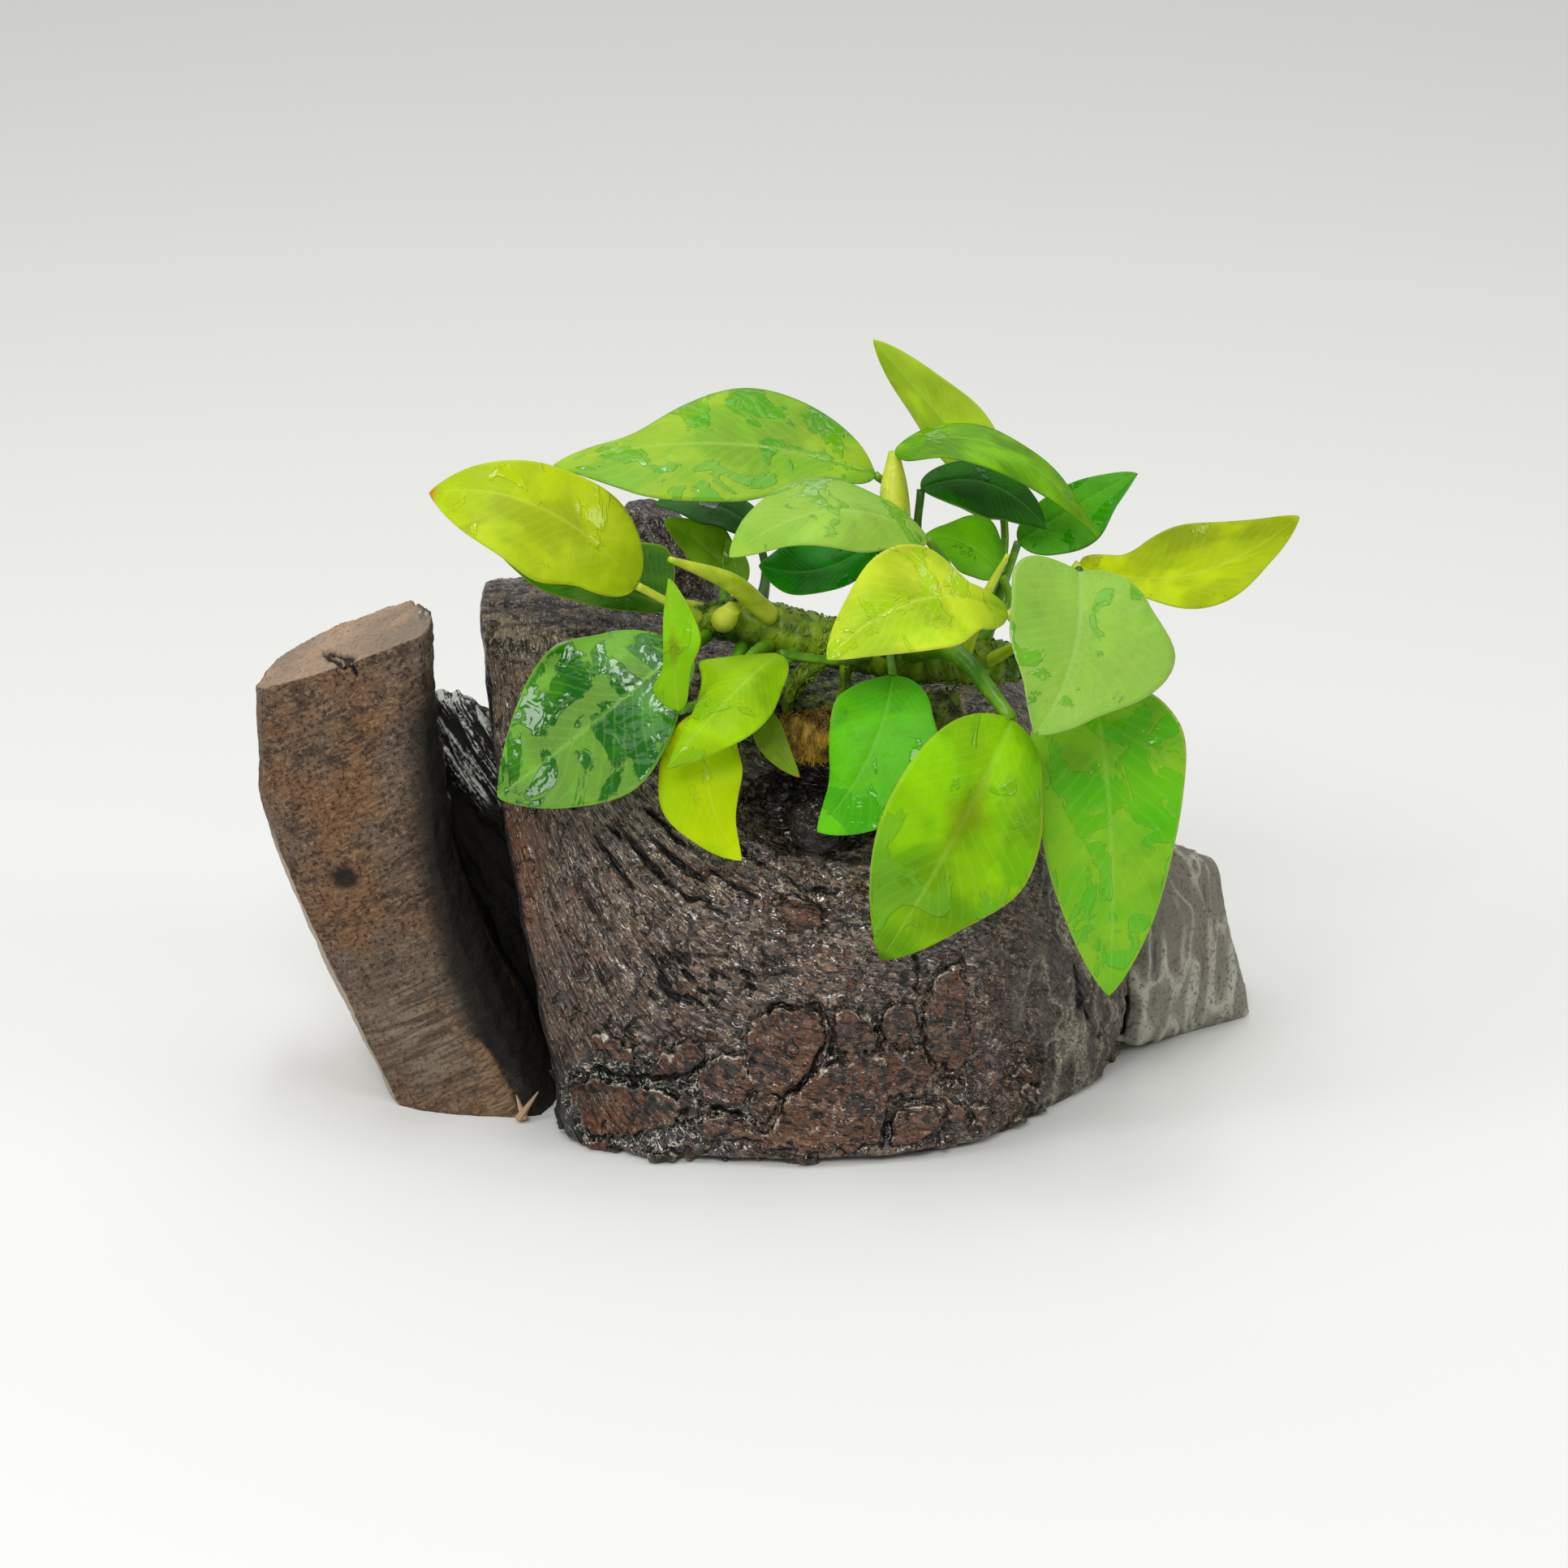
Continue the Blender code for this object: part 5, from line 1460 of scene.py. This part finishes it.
def leaf_greens(tree, place, look):
    """The two drifting greens, with clouds of painted shade and painted light."""
    drift = noise(tree, place, 95, 3, 0.5, 0.3)
    clouds = noise(tree, place, 48, 3, 0.6, 0.5)
    red, green, blue = look["main"]
    light = paint(min(255, 1.12 * red + 8), min(255, 1.12 * green + 8), blue)
    dusky = toned(look["wet"], 0.72, (0, 0, 0))
    colour = blend(tree, threshold(tree, drift, 0.42, 0.6), paint(*look["main"]),
                   paint(*look["wet"]))
    # Painted shade in dusky clouds, weaker on leaves that let more light through.
    shadow = threshold(tree, clouds, 0.5, 0.64, 0, 0.9 - 0.9 * look["glow"])
    colour = blend(tree, shadow, colour, dusky)
    # Painted light in lighter clouds.
    return blend(tree, threshold(tree, clouds, 0.46, 0.34, 0, 0.7), colour, light)


def leaf_marks(tree, colour, look, places, fine, midrib_share):
    """Lays midrib, veins, margin, tip, bruise and fine specks over a leaf's colour."""
    t, out, wave = places
    pale = toned(look["main"], 0.72, PALE)
    colour = blend(tree, threshold(tree, out, 0.06, 0.0, 0, midrib_share), colour, pale)
    veins = times(tree, threshold(tree, wave, 0.5, 1.0, 0, 0.13), threshold(tree, out, 1.0, 0.7))
    colour = blend(tree, veins, colour, pale)
    colour = blend(tree, threshold(tree, out, 0.95, 0.99, 0, 0.6), colour, paint(*look["rim"]))
    if "tip" in look:
        colour = blend(tree, threshold(tree, t, 0.955, 0.99), colour, paint(*look["tip"]))
    if "bruise" in look:
        off = sums(tree, "ABSOLUTE", sums(tree, "SUBTRACT", t, look["bruise"]))
        off = sums(tree, "MULTIPLY_ADD", off, BRUISE_REACH, times(tree, out, BRUISE_SIDE))
        off = sums(tree, "MULTIPLY_ADD", fine, 0.25, off)
        colour = blend(tree, threshold(tree, off, 0.75, 0.2, 0, 0.5), colour, paint(126, 112, 8))
    return blend(tree, threshold(tree, fine, 0.45, 0.7, 0, 0.12), colour, paint(*look["wet"]))


print("leaves with a tip or a bruise:",
      [key for key, look in LOOKS.items() if "tip" in look or "bruise" in look])

# %% [markdown]
# ## Leaf finishes
# Wet patches are darker and glossy, and the rest of the upper side is veiled by a grey bloom.
# The underside is paler and duller and stays dry. Light shines through a blade. Subsurface
# scattering could do that, but in so thin a sheet it is slow and noisy, so a share of the
# light goes through a second shader that lets it out on the other side.

# %% Finish of a leaf
UPPER = dict(name="upper_side_", midrib=0.42, bloom=0.75, dull=0.4, glossy=0.1, film=0.6, coat=0.55)
UNDER = dict(name="underside_", midrib=0.7, bloom=0, dull=0.5, glossy=0.5, film=0.0, coat=0)


def let_light_through(tree, shader, colour, share):
    """Lets a share of the light out on the other side, as thin green tissue does."""
    through = add(tree, "BsdfTranslucent", Color=colour)
    mixer = add(tree, "MixShader", Fac=share)
    tree.links.new(shader.outputs[0], mixer.inputs[1])
    tree.links.new(through.outputs[0], mixer.inputs[2])
    tree.links.new(mixer.outputs[0], tree.nodes["Material Output"].inputs["Surface"])


def leaf_finish(key, side):
    look = LOOKS[key]
    finish, tree, shader = new_finish(side["name"] + key)
    place = add(tree, "TexCoord").outputs["Object"]
    fine = noise(tree, place, 1400, 2, 0.6)
    patch = noise(tree, stretched(tree, place, (0.016, 0.016, 0.024)), 1.6, 4, 0.55, 1.2)
    level = 0.62 - 0.2 * look["patches"]
    wet = threshold(tree, patch, level, level + 0.03)
    colour = leaf_greens(tree, place, look)
    colour = blend(tree, times(tree, wet, 0.6), colour, paint(*look["wet"]))
    veil = times(tree, rest_of(tree, wet), side["bloom"] * look["veil"])
    colour = blend(tree, veil, colour, toned(look["main"], 0.62, BLOOM))
    colour = leaf_marks(tree, colour, look, leaf_places(tree, place), fine, side["midrib"])
    plug(tree, shader.inputs["Base Color"], colour)
    plug(tree, shader.inputs["Roughness"],
         threshold(tree, wet, 0.2, 0.8, side["dull"], side["glossy"]))
    shader.inputs["Specular IOR Level"].default_value = 0.1 + 0.3 * look["veil"]
    if side["coat"]:
        plug(tree, shader.inputs["Coat Weight"], times(tree, wet, side["coat"]))
        shader.inputs["Coat Roughness"].default_value = 0.05
        shader.inputs["Coat IOR"].default_value = 1.5
    relief = sums(tree, "MULTIPLY_ADD", fine, 0.15, times(tree, wet, side["film"]))
    swell = sums(tree, "MULTIPLY_ADD", wet, 0.9, 2.2)
    relief = sums(tree, "MULTIPLY_ADD", noise(tree, place, 260, 2, 0.5, 0.6), swell, relief)
    bumps(tree, shader, relief, 0.00016)
    let_light_through(tree, shader, colour, look["glow"])
    return finish


print("sides of a leaf:", len((UPPER, UNDER)))

# %% Make and dress the blades
for number, key in enumerate(LEAVES):
    leaf_piece = blade(key, number)
    for side in (UPPER, UNDER):
        leaf_piece.data.materials.append(leaf_finish(key, side))
    finished(leaf_piece, "leaf_" + key)
print("blades:", len(LEAVES))

# %% [markdown]
# ## Tubes
# Stalks, shoots, rhizome and roots are all round stems that taper and bend. Rings of points
# could be bridged one after another. A curve with a round bevel does the same with a size at
# each point. It is then made a mesh, and its end caps are welded on.

# %% Paths
STALK_RADII = (1.35, 0.8, 0.75)


def smooth_path(points, count):
    """Evenly numbered points on a smooth open curve through the given points."""
    points = [Vector(point) for point in points]
    padded = [2 * points[0] - points[1], *points, 2 * points[-1] - points[-2]]
    spans = len(points) - 1
    path = []
    for step in range(count):
        spot = step * spans / (count - 1)
        span = min(int(spot), spans - 1)
        path.append(smooth_between(*padded[span:span + 4], spot - span))
    return path


def smooth_sizes(radii, count):
    return [size.x for size in smooth_path([(radius, 0, 0) for radius in radii], count)]


print("sizes along a stalk:", [round(size, 2) for size in smooth_sizes(STALK_RADII, 5)])

# %% Make a tube
STALK_ROUND = 4


def new_curve(name, thickness, rounds):
    """An empty curve with a round bevel, thickness millimetres in radius."""
    curve = bpy.data.curves.new(name, "CURVE")
    curve.dimensions = "3D"
    curve.bevel_depth = thickness * MM
    curve.bevel_resolution = rounds
    return curve


def as_mesh(name, curve):
    piece = bpy.data.objects.new(name, curve)
    bpy.context.scene.collection.objects.link(piece)
    make_active(piece)
    bpy.ops.object.convert(target="MESH")
    return bpy.context.object


def tube(name, path, radii, rounds=STALK_ROUND):
    """A round tapering stem along a path."""
    curve = new_curve(name, 1, rounds)
    curve.use_fill_caps = True
    spline = curve.splines.new("POLY")
    spline.points.add(len(path) - 1)
    for point, spot, size in zip(spline.points, path, smooth_sizes(radii, len(path))):
        point.co = (*((spot + SHIFT) * MM), 1)
        point.radius = size
    piece = as_mesh(name, curve)
    weld(WELD_REACH, outward=True)
    return piece


def roughen(piece, height):
    """Moves a piece's points along their normals by height(points) millimetres."""
    spots = points_of(piece.data) / MM - np.array(SHIFT)
    moved = spots + normals_of(piece.data) * height(spots)[:, None]
    move_points(piece.data, (moved + np.array(SHIFT)) * MM)


print("sides of a tube:", 2 * STALK_ROUND + 4)

# %% [markdown]
# ## Stalks and shoots
# Stalks are stoutest where they sheathe the rhizome and end just under their blade. Each
# could have a green of its own, but they are thin and half hidden. Three greens are enough:
# yellow for the young ones, dark for those in the shade, and one between. Three shoots that
# haven't opened yet are tubes that taper to a point.

# %% Tones of the stems
STALK_POINTS = 22
NECK_GAP = 0.2
STOUT_STEMS = {"hanging_centre": (1.9, 1.7, 1.2), "hanging_right": (1.5, 1.2, 1.0)}
YELLOW_STALKS = ("far_left", "below_far_left", "arched", "golden", "far_right")
DARK_STALKS = ("right_round", "hanging_right", "under_middle", "back_left_dark", "shaded")
SHOOTS = {
    "leaf_spear": (((-1, -9, 90), (-8, -13.5, 98), (-18.5, -20, 104.5)), (1.9, 1.7, 0.5)),
    "leaf_stub": (((-9.5, -8, 89), (-9, -12.5, 91), (-7.5, -14, 93.5)), (2.2, 2.2, 1.4)),
    "thin_spear": (((33.5, -10, 83), (36.5, -9, 93), (40.6, -8.5, 101.5)), (1.0, 0.9, 0.4)),
}


def stem_finish(name, young, old, gloss=0.35, glow=0.2):
    """Green stem tissue with faint streaks and a few brown specks."""
    finish, tree, shader = new_finish(name)
    place = add(tree, "TexCoord").outputs["Object"]
    streak = noise(tree, place, 160, 3, 0.6, 0.5)
    speck = noise(tree, place, 900, 3, 0.6)
    colour = blend(tree, threshold(tree, streak, 0.35, 0.68), paint(*young), paint(*old))
    colour = blend(tree, threshold(tree, speck, 0.62, 0.72, 0, 0.4), colour, paint(96, 88, 26))
    plug(tree, shader.inputs["Base Color"], colour)
    shader.inputs["Roughness"].default_value = gloss
    bumps(tree, shader, speck, 0.00012)
    let_light_through(tree, shader, colour, glow)
    return finish


yellow_stem = stem_finish("yellow stem", (218, 228, 70), (180, 204, 30))
green_stem = stem_finish("green stem", (120, 172, 24), (70, 132, 14))
dark_stem = stem_finish("dark stem", (66, 112, 18), (34, 76, 10))
stem_tones = {key: yellow_stem for key in YELLOW_STALKS} | {key: dark_stem for key in DARK_STALKS}
print("yellow stalks:", len(YELLOW_STALKS), "dark stalks:", len(DARK_STALKS))

# %% Stalks and shoots
for key, leaf in LEAVES.items():
    base, along, _, _ = rib_frame(leaf, 0)
    root, bend = leaf["stalk"]
    path = smooth_path((root, bend, base - along * NECK_GAP), STALK_POINTS)
    radii = STOUT_STEMS.get(key, leaf.get("stalk_radii", STALK_RADII))
    stalk = tube("stem_" + key, path, radii)
    stalk.data.materials.append(stem_tones.get(key, green_stem))
    finished(stalk, "stalk_" + key)
for key, (points, radii) in SHOOTS.items():
    shoot = tube("shoot_" + key, smooth_path(points, STALK_POINTS), radii)
    shoot.data.materials.append(yellow_stem)
    finished(shoot, key)
print("stems:", len(LEAVES) + len(SHOOTS))

# %% [markdown]
# ## Threads of moss and root
# Moss and fine roots are many thin wavy threads on a thicker stem. Hair could stand for
# them, but hair is no mesh and could not be kept with the part. So each thread is a very thin
# curve that wanders round the stem, by seeded random steps, so that every run is the same.

# %% Make a tangle of threads
THREAD_STEPS = 9
SPINE_STEPS = 60


def tangle(name, points, radii, count, length, thickness, seed):
    """Many thin wavy threads that lie on a tube along the given points."""
    chance = random.Random(seed)
    spine = smooth_path(points, SPINE_STEPS)
    sizes = smooth_sizes(radii, SPINE_STEPS)
    curve = new_curve(name, thickness, 0)
    for _ in range(count):
        spot = chance.uniform(2, SPINE_STEPS - 4)
        turn = chance.uniform(0, 2 * math.pi)
        drift = chance.uniform(-1, 1) * length / 8
        twist = chance.uniform(-1, 1) * length / 8
        spline = curve.splines.new("POLY")
        spline.points.add(THREAD_STEPS - 1)
        for step, point in enumerate(spline.points):
            along = min(max(spot + drift * step, 0), SPINE_STEPS - 1)
            turn += (twist + chance.uniform(-0.9, 0.9)) / 4
            low = int(along)
            high = min(low + 1, SPINE_STEPS - 1)
            centre = spine[low].lerp(spine[high], along - low)
            out = sizes[low] + chance.uniform(-0.3, 0.45)
            ring = Vector((0, math.cos(turn), math.sin(turn))) * out
            point.co = (*((centre + ring + SHIFT) * MM), 1)
            point.radius = 1 - 0.6 * step / THREAD_STEPS
    return as_mesh(name, curve)


def joined(piece, extra):
    make_active(piece)
    extra.select_set(True)
    bpy.ops.object.join()
    return piece


print("points of a thread:", THREAD_STEPS)

# %% [markdown]
# ## Rhizome and bare roots
# The rhizome is a thick creeping stem with ring scars where old leaves fell. It and the two
# bare roots that loop out of it are furred with moss. Each ring could be a bevelled ridge, but
# they are faint, so a sine along the stem lifts them. The threads are joined to the stem that
# they grow on, because they stand for the same solid.

# %% Rhizome and bare roots
RHIZOME_POINTS = ((-14.5, -5, 88), (-6, -5, 88), (4, -7, 86), (14, -8, 84), (26, -8, 82),
                  (38, -6, 80.5), (45, -4, 79.5))
RHIZOME_RADII = (2.4, 4.2, 4.4, 4.2, 4.2, 3.8, 2.6)
MOSS_THREADS = 420
ROOTS = {
    "root_loop": ((9, -10, 83), (7, -15, 83), (3, -17, 80), (2, -18, 75), (5, -19, 72),
                  (9, -19, 73)),
    "root_curl": ((12, -10, 82), (12, -17, 80), (11, -21, 77), (13, -22, 73), (10, -23, 71)),
}
ROOT_RADII, FUR_RADII, FUR_THREADS = (1.0, 1.0, 0.8), (1.6, 2.4, 2.2), 150


def rhizome_height(spots):
    rings = np.sin(spots[:, 0] * 2.1) * 0.22
    return rings + 0.5 * layered_noise(spots / 2.0, 110)


mossy = stem_finish("mossy stem", (156, 184, 30), (66, 104, 10), 0.4, 0.2)
rhizome = tube("creeping_stem", smooth_path(RHIZOME_POINTS, 150), RHIZOME_RADII, 12)
roughen(rhizome, rhizome_height)
rhizome.data.materials.append(mossy)
moss = tangle("moss", RHIZOME_POINTS, RHIZOME_RADII, MOSS_THREADS, 5, 0.22, 5)
moss.data.materials.append(mossy)
finished(joined(rhizome, moss), "rhizome")
for key, points in ROOTS.items():
    root = tube("bare_" + key, smooth_path(points, 40), ROOT_RADII)
    root.data.materials.append(mossy)
    fur = tangle("fur_" + key, points, FUR_RADII, FUR_THREADS, 4, 0.2, len(key))
    fur.data.materials.append(mossy)
    finished(joined(root, fur), key)
print("bare roots:", len(ROOTS))

# %% [markdown]
# ## Root mat
# Fine roots cling to the wood under the rhizome. They are golden at the left end, where they
# are young, and dark and mossy beyond. Threads alone would need thousands to look full, so a
# rough low tube fills the mat and the threads on it make the tangle.

# %% Root mat
MAT_POINTS = ((-1, -23, 72), (8, -24, 73), (19, -22, 75), (32, -19, 77))
MAT_RADII = (4.2, 5, 3.6, 3.6)
MAT_THREADS = 420
GOLDEN_END, GOLDEN_FADE = 7, 4


def mat_finish():
    """Golden roots at the left end of the mat, dark mossy ones beyond."""
    finish, tree, shader = new_finish("fine roots")
    place = add(tree, "TexCoord").outputs["Object"]
    streak = noise(tree, place, 260, 3, 0.6, 0.5)
    side = add(tree, "SeparateXYZ", Vector=place).outputs["X"]
    side = threshold(tree, about(tree, streak, 0.5, 0.01, side), GOLDEN_END * MM,
                     (GOLDEN_END + GOLDEN_FADE) * MM)
    golden = threshold(tree, streak, 0.38, 0.62)
    golden = blend(tree, golden, paint(176, 136, 24), paint(92, 64, 10))
    dark = threshold(tree, streak, 0.4, 0.6)
    dark = blend(tree, dark, paint(98, 112, 18), paint(34, 34, 8))
    plug(tree, shader.inputs["Base Color"], blend(tree, side, golden, dark))
    shader.inputs["Roughness"].default_value = 0.6
    return finish


def mat_height(spots):
    return 0.5 * layered_noise(spots / 1.6, 120) - 0.4


root_brown = mat_finish()
mat = tube("root_tangle", smooth_path(MAT_POINTS, 60), MAT_RADII, 10)
roughen(mat, mat_height)
mat.data.materials.append(root_brown)
threads = tangle("root_threads", MAT_POINTS, MAT_RADII, MAT_THREADS, 7, 0.17, 9)
threads.data.materials.append(root_brown)
finished(joined(mat, threads), "root_mat")
print("threads in the mat:", MAT_THREADS)

# %% [markdown]
# ## Last
# The view layer is brought up to date.

# %% Finish
bpy.context.view_layer.update()
